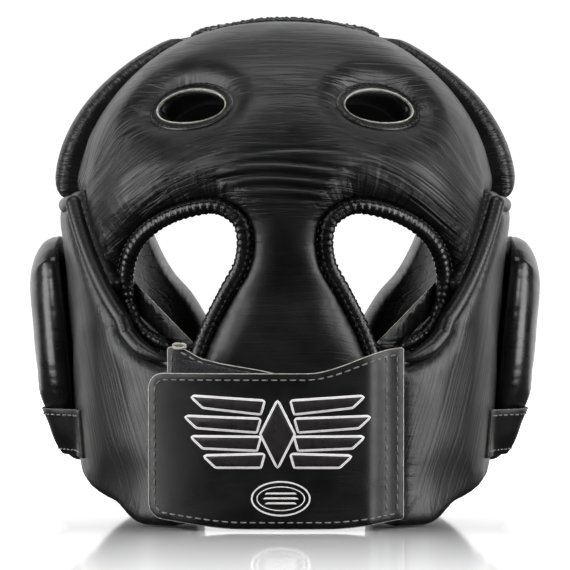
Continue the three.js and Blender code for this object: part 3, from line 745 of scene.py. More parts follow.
def ink(name, low, high, gloss, glow=0.0):
    n = Nodes(name)
    place = n.place()
    worn = n.between(n.noise(place, 420.0, 4.0, 0.7), 0.25, 0.6)
    cells = n.add("ShaderNodeTexVoronoi", Vector=place, Scale=1150.0)
    rough = n.between(n.noise(place, 200.0), 0.3, 0.7, gloss - 0.06, gloss + 0.08)
    shade = n.mix(worn, low, high)
    # Emission in the print's own colour: with glow above 0 the print glows, painted light that brightens it
    # beyond what the lamps give.
    n.tree.links.new(shade, n.shader.inputs["Emission Color"])
    bump = n.bump(cells.outputs["Distance"], 0.00006, 0.4)
    return n.finish(shade, rough, bump, Emission_Strength=glow)


LOOKS = {}


def make_looks(sizes):
    black, grey = tuple(sizes.leather_dark), tuple(sizes.leather_light)
    LOOKS["dome"] = leather("dome_leather", black, grey, 0.44, 1.0, (0.016, 0.26), coat=0.08)
    LOOKS["wing"] = leather("wing_leather", black, grey, 0.44, 0.24, (0.012, 0.14), coat=0.15, gather=0.3)
    LOOKS["piping"] = leather("piping_leather", black, grey, 0.42, 0.05, (0.1, 0.3), 0.12, 0.15, 0.0)
    LOOKS["gloss"] = leather("glossy_leather", black, grey, 0.33, 0.05, (0.012, 0.05), 0.12, 0.35, 0.1)
    LOOKS["binding"] = leather("binding_leather", black, grey, 0.33, 0.3, (0.2, 0.5), 0.2, 0.25, 0.0)
    LOOKS["flat"] = leather("strap_leather", black, grey, 0.46, 0.07, (0.02, 0.1), 0.45, 0.05, 0.0)
    LOOKS["lining"] = leather("lining_leather", black, grey, 0.42, 0.4, (0.02, 0.12), 0.3, 0.1)
    LOOKS["raw"] = raw_edge("cut_edge")
    LOOKS["dim_raw"] = raw_edge("inked_edge", 0.3)
    LOOKS["thread"] = thread("grey_thread", tuple(sizes.thread_colour))
    LOOKS["dark_thread"] = thread("dark_thread", (0.05, 0.05, 0.055))
    LOOKS["loops"] = fuzz("loop_pile", 1500.0)
    LOOKS["hooks"] = fuzz("hook_pile", 2600.0)
    # The pale print glows a little: painted light that lifts its white above what the lamps give it.
    LOOKS["white_ink"] = ink("pale_print_painted_glow", (0.78, 0.75, 0.76), (0.95, 0.93, 0.93), 0.45, 0.3)
    LOOKS["black_ink"] = ink("black_print", (0.02, 0.017, 0.017), (0.045, 0.04, 0.04), 0.35)


def put(piece, body, slot, *nodes):
    """Rides a piece on its body and hides the frame's nodes that it stands for; slot is not used."""
    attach(piece, body)
    if nodes:
        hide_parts(*nodes)
    return piece


def both_sides(piece, body, slot, nodes):
    """The right-hand piece and its mirror image, each standing for its own side's nodes."""
    pair = [piece, mirrored(piece, piece.name.replace("_right", "_left"))]
    for one, side in zip(pair, ("right", "left")):
        put(one, body, slot, *[f"{n}_{side}" for n in nodes])
    return pair


# ---- Outlines -----------------------------------------------------------------------------------


def seam_columns(line, depth, roll, dish=0.0, gather=1.0):
    """A line of (s, t) with its seam depth, roll radius, dish and how strongly it is gathered."""
    line = np.array(line, float)
    n = len(line)
    rest = [np.full(n, depth), np.full(n, roll), np.full(n, dish), np.zeros(n) + gather]
    return np.column_stack([line, *rest])


def dome_flat(x, z, depth):
    """The dome's (s, t) for a point seen from behind, at a depth."""
    phi = np.arcsin(np.clip((z - DOME["centre"]) / (DOME["rise"] - depth), 0, 1))
    half_depth = mix(DOME["depth"], NAPE["depth"], smooth((DOME["centre"] - z) / NAPE["blend"])) - depth
    across = x / np.cos(phi)
    theta = math.pi / 2 - angle_of(np.abs(across), DOME["width"] - depth, half_depth, DOME["power"])
    t = np.where(z < DOME["centre"], z, DOME["centre"] + DOME["rise"] * phi)
    return np.column_stack([np.sign(x) * theta * S_SCALE, t])


def side_flat(x, z, depth):
    """The wing's (s, t) for a point seen from behind, at a depth."""
    angle = angle_of(x, SIDE["width"] + SIDE["widening"] * z - depth, WING["depth"] - depth, WING["power"])
    return np.column_stack([-angle * S_SCALE, z])


def dome_unroll(p, depth):
    """The dome's (s, t) for points near its rounded top, seen from the head's middle, at a depth."""
    theta = np.arctan2(p[:, 0], -p[:, 1])
    full = oval(DOME["width"] - depth, DOME["depth"] - depth, DOME["power"], theta - math.pi / 2)
    level = np.hypot(p[:, 0], p[:, 1]) / full
    up = (p[:, 2] - DOME["centre"]) / (DOME["rise"] - depth)
    return np.column_stack([theta * S_SCALE, DOME["centre"] + DOME["rise"] * np.arctan2(up, level)])


def vent_loop(half, depth, side=1, steps=90):
    """An ellipse round a vent's middle, laid on the dome."""
    centre, across, up, _ = vent_frame(depth)
    turn = np.linspace(0, 2 * math.pi, steps, endpoint=False)
    p = centre + half[0] * np.cos(turn)[:, None] * across + half[1] * np.sin(turn)[:, None] * up
    return dome_unroll(p, depth) * np.array([side, 1])


def vent_frame(depth):
    """A vent's middle on the dome at a depth, and its across, up and outward directions."""
    x, z = VENT["x"], VENT["z"] - DOME["centre"]
    across = math.sqrt(1 - (z / DOME["rise"]) ** 2)
    power = DOME["power"]
    y = -DOME["depth"] * (across**power - (x / DOME["width"]) ** power) ** (1 / power)
    normal = Vector((x / DOME["width"] ** 2, y / DOME["depth"] ** 2, z / DOME["rise"] ** 2)).normalized()
    up = (Vector((0, 0, 1)) - normal * normal.z).normalized()
    tilt = math.radians(VENT["tilt"])
    side = up.cross(normal)
    up = up * math.cos(tilt) + normal.cross(up) * math.sin(tilt)
    side = up.cross(normal)
    centre = np.array((x, y, VENT["z"])) - depth * np.array(normal)
    return centre, np.array(side), np.array(up), np.array(normal)


def rim_t(shell, theta, depth):
    """The crown rim's height up a shell, for an edge at a depth."""
    opening = oval(CROWN[0], CROWN[1], 2, theta - math.pi / 2)
    radius = oval(shell["width"] - depth, shell["depth"] - depth, shell["power"], theta - math.pi / 2)
    return shell["centre"] + shell["rise"] * np.arccos(opening / radius)


NECK_DEPTH, NECK_ROLL = 8.0, 17.0


def dome_loops():
    neck = spline(NECK_OPENING)
    flat = dome_flat(neck[:, 0], neck[:, 1], NECK_DEPTH)
    ends = dome_flat(np.array([48.0, 0.1]), np.array([35.0, 35.0]), 4.0)
    side = np.radians(np.arange(48, 5.9, -1))
    seam = np.column_stack([(math.pi / 2 - side) * S_SCALE, roll_height(side) + 1.2])
    seam = seam[seam[:, 1] > 106.5]
    edge = np.radians(84.0)
    up = np.column_stack([np.full(40, edge * S_SCALE), np.linspace(163, rim_t(DOME, edge, 4.0) - 1, 40)])
    theta = np.linspace(edge, 0.01, 60)
    rim = np.column_stack([theta * S_SCALE, rim_t(DOME, theta, 4.0)])
    right = np.vstack([
        seam_columns(ends[::-1], 4.0, 8.0),
        seam_columns(flat, NECK_DEPTH, NECK_ROLL, 0.0, 0.8 + 1.4 * smooth((neck[:, 0] - 16) / 30)),
        seam_columns(seam, 4.5, 11.0),
        seam_columns(up, 3.0, 10.0),
        seam_columns(rim, 4.0, 10.0),
    ])
    left = right[::-1] * np.array([-1, 1, 1, 1, 1, 1])
    loops = [np.vstack([right, left])]
    for sign in (1, -1):
        loops.append(seam_columns(vent_loop(VENT["opening"], 6.0, sign), 6.8, 13.0, 1.0, 0.5))
    return loops


# Folds over the tongue: height, depth and width of each.
TONGUE_FOLDS = ((162.5, 1.5, 1.1), (168.0, 1.7, 1.2), (173.5, 1.3, 1.1), (180.0, 0.7, 1.3), (157.5, 0.6, 1.0))


def dome_relief(p, far):
    """Soft folds along the dome's lines, and deep ones arched over the tongue."""
    x, z = p[:, 0], p[:, 2]
    lines = dome_lines(p, far)
    fine = ripple(lines * 0.66 + 0.5 * np.sin(x * 0.045), 2.0) + 0.5 * ripple(lines * 1.4 + 0.03 * x, 4.0)
    arch = z + x * x / 300.0
    deep = 0 * x
    for centre, depth, width in TONGUE_FOLDS:
        off = arch - centre - 0.9 * np.sin(x * 0.07 + 2.3 * centre)
        reach = np.exp(-(((x - 9.0 * math.sin(1.9 * centre)) / 30.0) ** 4))
        fold = -depth * np.exp(-((off / width) ** 2)) + 0.5 * depth * np.exp(-(((off + 2.6) / 1.9) ** 2))
        deep = deep + reach * fold
    fade = np.clip((far - 1) / 9.0, 0, 1)
    calm = dome_crumple(p)
    return fade * (0.34 * fine * (0.2 + 0.8 * smooth((200 - z) / 60)) * calm + deep)


def dome_crumple(p):
    """How loose the leather is: taut and smooth on the tongue, looser above it."""
    tongue = smooth((52.0 - np.abs(p[:, 0])) / 10.0) * smooth((157.0 - p[:, 2]) / 12.0)
    return mix(0.25 + 0.75 * smooth((245.0 - p[:, 2]) / 60.0), 0.08, tongue)


def dome_lines(p, far):
    """The height that creases follow: level in the middle, coming down towards the sides."""
    side = np.maximum(0, np.abs(p[:, 0]) - 18.0)
    return p[:, 2] + side**2 / 150.0 * smooth((225.0 - p[:, 2]) / 60.0)


def brow_loop():
    side = 96.0 * math.pi / 180
    s = np.linspace(-side, side, 160)
    theta = math.pi - s
    low = np.column_stack([s * S_SCALE, brow_height(theta - math.pi / 2) + 0.8])
    top = np.column_stack([s[::-1] * S_SCALE, rim_t(BROW, theta[::-1], 4.0)])
    return [np.vstack([seam_columns(low, 7.0, 15.0), seam_columns(top, 4.0, 10.0)])]


def wing_loop():
    depth = 5.0
    side = np.radians(np.arange(-3, 66.0, 1.0))
    end_angle = float(angle_of(50.5, SIDE["width"] + 4 - depth, WING["depth"] - depth, WING["power"]))
    side = side[side < end_angle]
    low = np.column_stack([-side * S_SCALE, wing_foot(side) + 0.6])
    ends = side_flat(np.array([50.5, 50.5]), np.array([wing_foot(end_angle) + 0.6, 78.0]), depth)
    foot = spline(NECK_FOOT[::-1])
    foot = side_flat(foot[:, 0], foot[:, 1] - 4.5, depth)
    up = np.radians(np.arange(48, -3.1, -1.0))
    below = mix(1.0, 5.0, smooth((np.degrees(up) - 4) / 10))
    roll = np.column_stack([-up * S_SCALE, roll_height(up) - below])
    roll = roll[roll[:, 1] > 96]
    edge = [seam_columns(low, 3.0, 5.0), seam_columns(ends, 4.0, 8.0), seam_columns(foot, 5.0, 9.0)]
    edge.append(seam_columns(roll, 4.0, 9.0))
    front = roll[-1, 0]
    turn = np.linspace(math.pi / 2, -math.pi / 2, 30)
    hole = np.column_stack([front - 15.0 * np.cos(turn), 98 + 28.0 * np.sin(turn)])
    edge.append(seam_columns(hole, 6.0, 9.0))
    return [np.vstack(edge)]


def wing_lines(p, far):
    """Creases that run down and towards the closure."""
    return 0.95 * np.arctan2(p[:, 1], p[:, 0]) * S_SCALE - 0.32 * p[:, 2]


def cheek_surface(s, t, depth):
    """The cheek from the ear seam at s = 0 to the face opening at s = 105."""
    width = SIDE["width"] + SIDE["widening"] * t - depth
    half_depth = CHEEK["depth"] + CHEEK["deepening"] * t - depth
    end = angle_of(face_half_width(t), width, half_depth, CHEEK["power"])
    return side_point(mix(math.radians(3), end, s / 105.0), t, depth)


def cheek_loop():
    s = np.linspace(0, 105, 60)
    angle = np.radians(3 + s * 0.55)
    low = np.column_stack([s, foot_height(angle) + 0.6])
    top = np.column_stack([s[::-1], brow_height(angle[::-1]) - 1.2])
    t = np.linspace(1.5, SIDE["top"] + 3, 90)
    face = np.column_stack([np.full(90, 105.0), t])
    turn = np.linspace(math.pi / 2, -math.pi / 2, 30)
    hole = np.column_stack([13.0 * np.cos(turn), 98 + 28.0 * np.sin(turn)])
    edge = [
        seam_columns(low, 7.0, 13.0), seam_columns(face, 11.0, 16.0),
        seam_columns(top, 6.0, 12.0), seam_columns(hole, 6.0, 9.0),
    ]
    return [np.vstack(edge)]


def ear_loop():
    turn = np.linspace(0, 2 * math.pi, 200, endpoint=False)
    a, b = np.cos(turn), np.sin(turn)
    size = np.maximum(np.abs(a), np.abs(b))
    a, b = a / size, b / size
    across = a * np.sqrt(1 - b * b / 2.6)
    up = b * np.sqrt(1 - a * a / 2.6)
    s = np.radians(EAR["angle"] + across * EAR["half_angle"]) * S_SCALE
    return [seam_columns(np.column_stack([s, EAR["middle"] + up * EAR["half"]]), -4.0, 27.0)]


def ear_squeeze(z):
    """The chin strap presses the ear pad's lower end flatter."""
    return mix(0.76, 1.0, smooth((z - 44.0) / 20.0))


def ear_surface(s, t, depth):
    off = np.maximum(0, -1.0 - depth)
    return side_surface(s, t, depth + off - off * ear_squeeze(t))


def ear_height(angle, z):
    """How far the ear pad's leather stands off the side, in millimetres."""
    loop = ear_loop()[0]
    edge = resample(loop, 0.7, closed=True)[:, :2]
    flat = np.column_stack([np.ravel(angle) * S_SCALE, np.ravel(z)])
    far = nearest(flat, edge)[1]
    share = np.sqrt(1 - (1 - np.clip(far / 27.0, 0, 1)) ** 2)
    height = 1.0 + (3.0 + (19.2 - 4.0) * share) * ear_squeeze(flat[:, 1])
    return np.where(inside(flat, loop[:, :2]), height, 0.8).reshape(np.shape(z))


def flap_outline():
    x = np.linspace(CLOSURE["left"] + 0.05, CLOSURE["right"], 150)
    inset = np.clip((CLOSURE["left"] + 7 - x) / 7, 0, 1)
    corner = 7 * (1 - np.sqrt(1 - inset * inset))
    low = np.column_stack([x, 0.8 + 5 * smooth((np.abs(x) - 20) / 55) + corner])
    high = np.column_stack([x, flap_top(x) - corner])
    return np.vstack([low, high[::-1]])


def flap_top(x):
    return mix(74.0, 86.0, smooth((x - 10) / (CLOSURE["right"] - 10)))


def root_drop(x):
    return (LIFT["lining"] - LIFT["tab"]) * smooth((x - 39.0) / 11.0)


def on_rear(lift, drop=False):
    """place() for something laid on the closure."""
    def place(x, z, height):
        return wrap_rear(x, z, lift + height - (root_drop(x) if drop else 0))
    return place


def ellipse(x, z, a, b, steps=80):
    turn = np.linspace(0, 2 * math.pi, steps, endpoint=False)
    return np.column_stack([x + a * np.cos(turn), z + b * np.sin(turn)])


def inset(outline, distance, step=1.0):
    """A closed outline moved inwards."""
    loop = resample(outline, step, closed=True)
    turn = np.sum(loop[:, 0] * np.roll(loop[:, 1], -1) - np.roll(loop[:, 0], -1) * loop[:, 1])
    moved = loop + (1 if turn > 0 else -1) * distance * leftward(loop)
    kept = nearest(moved, loop)[1] > abs(distance) * 0.93
    return moved[kept]


def neck_line(offset, z_from=0.0):
    """A line beside a neck opening and on along the wing's upper edge, seen from behind."""
    line = resample(np.vstack([spline(NECK_OPENING), NECK_FOOT]), 1.0)
    along = np.gradient(line, axis=0)
    along /= np.linalg.norm(along, axis=1)[:, None]
    line = line + offset * np.stack([-along[:, 1], along[:, 0]], axis=1)
    return line[line[:, 1] > z_from]


def jaw_place(lift, drop=None):
    """place() for a band round the jaw: angle in degrees, height, and height off it."""
    angles = np.arange(-40.0, 141.0, 1.0)
    heights = np.arange(26.0, 60.1, 2.0)
    side = np.where(angles > 90, 180 - angles, angles)
    rise = ear_height(np.radians(side)[:, None] + 0 * heights[None, :], heights[None, :] + 0 * side[:, None])
    reach = 4
    wide = np.pad(rise, ((reach, reach), (0, 0)), "edge")
    wide = np.max([wide[k : k + len(angles)] for k in range(2 * reach + 1)], axis=0)
    wide = np.pad(wide, ((reach, reach), (0, 0)), "edge")
    wide = np.mean([wide[k : k + len(angles)] for k in range(2 * reach + 1)], axis=0)

    def place(angle, z, height):
        row = np.clip((z - heights[0]) / 2.0, 0, len(heights) - 1.001)
        col = np.clip(angle - angles[0], 0, len(angles) - 1.001)
        i, j = col.astype(int), row.astype(int)
        f, g = col - i, row - j
        off = mix(mix(wide[i, j], wide[i + 1, j], f), mix(wide[i, j + 1], wide[i + 1, j + 1], f), g)
        off = off + lift + height - (drop(angle) if drop is not None else 0)
        return side_point(np.radians(angle), z, -off)
    return place


def band_outline(start, end, low, high, round_end=False):
    """A jaw band's outline in (angle in degrees / 0.52, height), so that its units are about millimetres."""
    a, b = start / 0.52, end / 0.52
    if not round_end:
        return np.array([(a, low), (b, low), (b, high), (a, high)])
    r = (high - low) / 2
    turn = np.linspace(-math.pi / 2, math.pi / 2, 24)
    tip = np.column_stack([b - 6 + 6 * np.cos(turn), low + r + r * np.sin(turn)])
    return np.vstack([[(a, low)], tip, [(a, high)]])


def jaw_band(name, outline, lift, thickness, materials, drop=None, flip=False):
    place = jaw_place(lift, drop)

    def at(a, z, height):
        p = place(a * 0.52, z, height)
        return p * np.array([-1, 1, 1]) if flip else p
    return plate(name, [[outline]], at, thickness, 3.0, materials)


# ---- Operators ------------------------------------------------------------------------------------


class HeadgearSizes(bpy.types.PropertyGroup):
    stitch_pitch: bpy.props.FloatProperty(
        name="Stitch pitch", description="Length of one stitch with its gap", default=0.0043, unit="LENGTH"
    )
    stitch_length: bpy.props.FloatProperty(
        name="Stitch length", description="Length of the thread that shows", default=0.0029, unit="LENGTH"
    )
    thread_radius: bpy.props.FloatProperty(
        name="Thread radius", description="Half the thread's thickness", default=0.00042, unit="LENGTH"
    )
    pucker: bpy.props.FloatProperty(
        name="Pucker", description="Height of the gathers beside a seam", default=0.00045, unit="LENGTH"
    )
    mesh_step: bpy.props.FloatProperty(
        name="Mesh step", description="Distance between points on the padded panels", default=0.0024,
        unit="LENGTH",
    )


class HeadgearColours(bpy.types.PropertyGroup):
    leather_dark: bpy.props.FloatVectorProperty(
        name="Leather", description="Black of the leather", default=(0.0045, 0.0045, 0.005), subtype="COLOR"
    )
    leather_light: bpy.props.FloatVectorProperty(
        name="Leather, worn", description="Leather where it is rubbed", default=(0.011, 0.011, 0.012),
        subtype="COLOR",
    )
    thread_colour: bpy.props.FloatVectorProperty(
        name="Thread", description="Thread on the flap and the straps", default=(0.42, 0.42, 0.43),
        subtype="COLOR",
    )


def sew(context, name, paths, look="thread"):
    sizes = context.scene.headgear_sizes
    return stitches(
        name, paths, LOOKS[look], sizes.stitch_pitch / MM, sizes.stitch_length / MM, sizes.thread_radius / MM
    )


class HEADGEAR_OT_dome(bpy.types.Operator):
    """Build the padded rear dome with its tongue, neck openings and vents"""

    bl_idname = "headgear.dome"
    bl_label = "Rear dome"

    def execute(self, context):
        sizes = context.scene.headgear_sizes
        pad = pillow(
            "dome_pad", dome_loops(), dome_surface, DOME["pad"], sizes.mesh_step / MM,
            [LOOKS["dome"], LOOKS["lining"]], 0.8, sizes.pucker / MM, dome_relief, dome_lines,
            (-46.0, 153.0, 46.0, 186.0, 1.0), dome_crumple,
        )
        inflate(pad, 2.0, 0.03, 1.5)
        put(pad, GUARD, "cover_leather", "dome_cover", "dome_foam", "dome_lining")
        return {"FINISHED"}


class HEADGEAR_OT_brow(bpy.types.Operator):
    """Build the brow pad"""

    bl_idname = "headgear.brow"
    bl_label = "Brow pad"

    def execute(self, context):
        sizes = context.scene.headgear_sizes
        pad = pillow(
            "brow_pad", brow_loop(), brow_surface, BROW["pad"], sizes.mesh_step / MM,
            [LOOKS["dome"], LOOKS["lining"]], 0.8, sizes.pucker / MM,
        )
        inflate(pad, 2.5, 0.03, 2.0)
        put(pad, GUARD, "cover_leather", "brow_cover", "brow_foam", "brow_lining")
        return {"FINISHED"}


class HEADGEAR_OT_sides(bpy.types.Operator):
    """Build the wings and the cheeks on both sides"""

    bl_idname = "headgear.sides"
    bl_label = "Wings and cheeks"

    def execute(self, context):
        sizes = context.scene.headgear_sizes
        step, pucker = sizes.mesh_step / MM, sizes.pucker / MM
        looks = [LOOKS["wing"], LOOKS["lining"]]
        wing = pillow(
            "wing_pad_right", wing_loop(), side_surface, WING["pad"], step, looks, 0.4, pucker,
            None, wing_lines,
        )
        cheek = pillow("cheek_pad_right", cheek_loop(), cheek_surface, CHEEK["pad"], step, looks, 0.4, pucker)
        inflate(wing, 2.5, 0.03, 2.0)
        inflate(cheek, 2.5, 0.03, 2.5)
        both_sides(wing, GUARD, "cover_leather", ["wing_cover", "wing_foam", "wing_lining"])
        both_sides(cheek, GUARD, "cover_leather", ["cheek_cover", "cheek_foam", "cheek_lining"])
        return {"FINISHED"}


class HEADGEAR_OT_ear_pads(bpy.types.Operator):
    """Build the pillows over the ears"""

    bl_idname = "headgear.ear_pads"
    bl_label = "Ear pads"

    def execute(self, context):
        sizes = context.scene.headgear_sizes
        looks = [LOOKS["gloss"], LOOKS["lining"]]
        ear = pillow(
            "ear_pad_right", ear_loop(), ear_surface, -1.0, sizes.mesh_step / MM * 0.8, looks,
            19.2, 0.9 * sizes.pucker / MM,
        )
        inflate(ear, 3.0, 0.025, 1.5)
        both_sides(ear, GUARD, "cover_leather", ["ear_pad_cover", "ear_pad_foam"])
        return {"FINISHED"}


class HEADGEAR_OT_trim(bpy.types.Operator):
    """Build the rolled bindings, the wings' piping and the vents' rings"""

    bl_idname = "headgear.trim"
    bl_label = "Bindings"

    def execute(self, context):
        line = neck_line(-3.6)
        flat = dome_flat(line[:, 0], line[:, 1], 6.0)
        neck = dome_surface(flat[:, 0], flat[:, 1], 6.0)
        binding = tube("neck_binding_right", neck, (3.9, 3.4), LOOKS["binding"], 0.45, 3.4, taper=5.0)
        both_sides(binding, GUARD, "binding_leather", ["neck_binding"])
        line = neck_line(-1.5)
        flat = dome_flat(line[:, 0], line[:, 1], 6.0)
        row = dome_surface(flat[:, 0], flat[:, 1], 2.9)
        seam = stitches("neck_stitches_right", [row], LOOKS["dark_thread"], 3.0, 2.0, 0.4)
        both_sides(seam, GUARD, "binding_leather", [])
        angle = np.radians(np.arange(3.0, 50.0, 0.5))
        height = roll_height(angle) - 3.3
        roll = side_point(-angle, height, 3.0 + 2.0 * smooth((12 - np.degrees(angle)) / 9))
        roll = roll[height > 98]
        foot = spline(NECK_FOOT)
        foot = wrap_rear(foot[:, 0], foot[:, 1] - 2.6, -3.0)
        path = np.vstack([roll, foot])
        piping = tube("wing_piping_right", path, (4.0, 4.1), LOOKS["piping"], 0.05, 2.6, 16.0, 24, 0.5, 0.0)
        both_sides(piping, GUARD, "cover_leather", [])
        inside_roll = side_point(-angle, roll_height(angle) - 1.0, 9.5)[height > 110]
        welt = tube("wing_seam_welt_right", inside_roll, (4.2, 5.0), LOOKS["lining"], 0.15, 4.0, taper=3.0)
        both_sides(welt, GUARD, "lining_leather", [])
        strip = np.array([(76, 120), (43.5, 87.5), (48, 82), (57, 88), (79, 108)])
        looks = [LOOKS["lining"], LOOKS["raw"]]
        strip = plate("wing_inner_edge_right", [[strip]], on_rear(-20.0), 1.6, 2.5, looks, 0.3)
        both_sides(strip, GUARD, "lining_leather", [])
        for name, shell, start in (("rear", DOME, 0.0), ("front", BROW, math.pi)):
            theta = start + np.radians(np.arange(-88.0, 88.5, 2.0))
            opening = oval(CROWN[0], CROWN[1], 2, theta - math.pi / 2)
            radius = oval(shell["width"], shell["depth"], shell["power"], theta - math.pi / 2)
            z = shell["centre"] + shell["rise"] * np.sqrt(1 - (opening / radius) ** 2) - 0.4
            reach = opening - 4.2
            path = np.stack([reach * np.sin(theta), -reach * np.cos(theta), z], axis=-1)
            rim = tube(f"crown_binding_{name}", path, (3.6, 3.5), LOOKS["binding"], 0.45, 4.2, taper=14.0)
            put(rim, GUARD, "binding_leather", f"crown_binding_{name}")
        self.vents()
        return {"FINISHED"}

    def vents(self):
        def place(a, b, height):
            centre, across, up, _ = vent_frame(6.0)
            p = centre + a[:, None] * across + b[:, None] * up
            flat = dome_unroll(p, 6.0)
            share = np.hypot(a / 25.2, b / 15.4)
            return dome_surface(flat[:, 0], flat[:, 1], 6.8 - 0.7 * smooth((share - 0.7) / 0.3) - height)
        ring = [ellipse(0, 0, 25.2, 15.4), ellipse(0, 0, 20.6, 11.1)]
        vent = plate("vent_ring_right", [ring], place, 1.3, 1.5, [LOOKS["binding"]] * 2, 0.4)
        both_sides(vent, GUARD, "binding_leather", ["vent_ring"])
        rim = [ellipse(0, 0, 20.8, 11.3), ellipse(0, 0, 20.1, 10.6)]
        rim = plate("vent_rim_right", [rim], place, 1.6, 1.5, [LOOKS["raw"]] * 2, 0.3)
        both_sides(rim, GUARD, "binding_leather", [])
        row = ellipse(0, 0, 23.8, 14.1)
        row = place(*np.vstack([row, row[:1]]).T, 1.4)
        seam = stitches("vent_stitches_right", [row], LOOKS["dark_thread"], 3.2, 2.2, 0.36)
        both_sides(seam, GUARD, "binding_leather", [])


class HEADGEAR_OT_closure(bpy.types.Operator):
    """Build the closure behind the neck: tab, tapes and flap"""

    bl_idname = "headgear.closure"
    bl_label = "Rear closure"

    def execute(self, context):
        leather_looks = [LOOKS["flat"], LOOKS["raw"]]
        tab = np.array([
            (-56, 5), (38, 5), (38, 64), (-12, 75.5), (-30, 78.5), (-40, 81), (-46, 84.5), (-51, 87),
            (-56, 86),
        ])
        piece = plate("loop_tab", [[tab]], on_rear(LIFT["tab"]), STRAP, 3.0, leather_looks)
        put(piece, GUARD, "strap_leather", "loop_tab")
        tape = np.array([(-52, 10), (33, 10), (33, 62), (-12, 73.5), (-38, 78.5), (-52, 81)])
        piece = plate("loop_patch", [[tape]], on_rear(LIFT["loop"]), TAPE, 3.0, [LOOKS["loops"]] * 2)
        put(piece, GUARD, "tape", "loop_patch")
        body = "closure_flap_body"
        outline = flap_outline()
        piece = plate("closure_flap", [[outline]], on_rear(LIFT["flap"], True), STRAP, 2.6, leather_looks)
        put(piece, body, "strap_leather", "closure_flap")
        lining = inset(outline, 1.0)
        lining_looks = [LOOKS["lining"], LOOKS["raw"]]
        under = on_rear(LIFT["lining"], True)
        piece = plate("closure_flap_lining", [[lining]], under, 1.0, 3.0, lining_looks, 0.2)
        put(piece, body, "lining_leather", "closure_flap_lining")
        hook = np.array([(-53, 12), (30, 12), (30, 66), (-53, 66)])
        piece = plate("hook_patch", [[hook]], on_rear(LIFT["hook"]), TAPE, 3.0, [LOOKS["hooks"]] * 2)
        put(piece, body, "tape", "hook_patch")
        self.seams(context, outline, tab)
        return {"FINISHED"}

    def seams(self, context, outline, tab):
        on_flap = on_rear(LIFT["flap"] + STRAP + 0.1, True)
        row = inset(outline, 3.2)
        first = int(np.argmin(row[:, 0] - row[:, 1]))
        row = np.roll(row, -first, axis=0)
        row = row[row[:, 0] < 53.0]
        gap = np.linalg.norm(np.diff(row, axis=0), axis=1)
        cut = int(np.argmax(gap)) + 1
        row = np.vstack([row[cut:], row[:cut]])
        z = np.linspace(8.0, 82.5, 60)
        ends = [np.column_stack([np.full(60, x), z]) for x in (48.0, 53.2)]
        paths = [on_flap(r[:, 0], r[:, 1], 0 * r[:, 0]) for r in (row, *ends)]
        put(sew(context, "closure_flap_stitches", paths), "closure_flap_body", "strap_leather")
        x = np.linspace(-50, 34, 80)
        height = np.interp(x, [-51, -46, -40, -30, -12, 38], [84.5, 82.0, 78.7, 76.4, 73.4, 62.0])
        top = np.column_stack([x, height])
        left = np.column_stack([np.full(40, -53.8), np.linspace(8, 83, 40)])
        on_tab = on_rear(LIFT["tab"] + STRAP + 0.1)
        paths = [on_tab(r[:, 0], r[:, 1], 0 * r[:, 0]) for r in (top, left)]
        put(sew(context, "loop_tab_stitches", paths), GUARD, "strap_leather")
        turn = np.linspace(0, 2.6 * math.pi, 40)
        x, z = -51.5 + 2.6 * np.cos(turn) + 0.3 * turn, 86.6 + 1.1 * np.sin(turn)
        path = wrap_rear(x, z, LIFT["tab"] + 2.6 + 0.16 * turn)
        knot = tube("thread_knot", path, (0.75, 0.75), LOOKS["raw"], 0.1, 2.0, 1.5, 10)
        put(knot, GUARD, "strap_leather")


class HEADGEAR_OT_emblem(bpy.types.Operator):
    """Print the plain winged device and the oval badge on the flap"""

    bl_idname = "headgear.emblem"
    bl_label = "Prints"

    def execute(self, context):
        body = "closure_flap_body"
        base = LIFT["flap"] + STRAP + 0.02
        shapes = emblem_shapes()
        outer = [[inset(s, -1.15, 0.6)] for s in shapes]
        # The white print's material glows: painted light on the emblem's outline and the badge's lines.
        white_ink, black_ink = [LOOKS["white_ink"]] * 2, [LOOKS["black_ink"]] * 2
        white = plate("emblem_outline", outer, on_rear(base), 0.22, 2.0, white_ink, 0.08)
        put(white, body, "print", "emblem_print")
        fills = [[s] for s in shapes]
        black = plate("emblem_fill", fills, on_rear(base + 0.2), 0.22, 2.0, black_ink, 0.08)
        put(black, body, "print")
        rings = [
            [ellipse(-2, 15.3, 14.0, 8.3), ellipse(-2, 15.3, 13.2, 7.5)],
            [ellipse(-2, 15.3, 11.4, 5.8), ellipse(-2, 15.3, 10.9, 5.3)],
        ]
        bars = [[np.array([(x, z), (x + w, z), (x + w - 0.8, z + 0.9), (x + 0.8, z + 0.9)])] for x, z, w in (
            (-9.5, 17.3, 15.0), (-10.3, 15.0, 16.6), (-9.5, 12.7, 15.0),
        )]
        badge = plate("badge_lines", rings + bars, on_rear(base), 0.25, 1.2, white_ink, 0.08)
        put(badge, body, "print", "badge_print")
        return {"FINISHED"}


def emblem_shapes():
    """A diamond between two fans of tapered bars, all plain shapes."""
    centre_x, centre_z = -3.5, 45.5
    shapes = [np.array([(0, -15), (7.5, 0), (0, 15), (-7.5, 0)], float)]
    for k, (length, rise) in enumerate(((33, 12.5), (36, 4.0), (33, -4.5), (27, -12.5))):
        inner = 9.5 - 0.9 * abs(rise) / 4
        tip = rise * 1.12
        bar = np.array([
            (inner + 1.5, rise - 2.6), (length + 2, tip - 1.2), (length + 7, tip + 3.4), (inner, rise + 2.8)
        ])
        shapes += [bar, bar * np.array([-1, 1])]
    return [s + np.array([centre_x, centre_z]) for s in shapes]


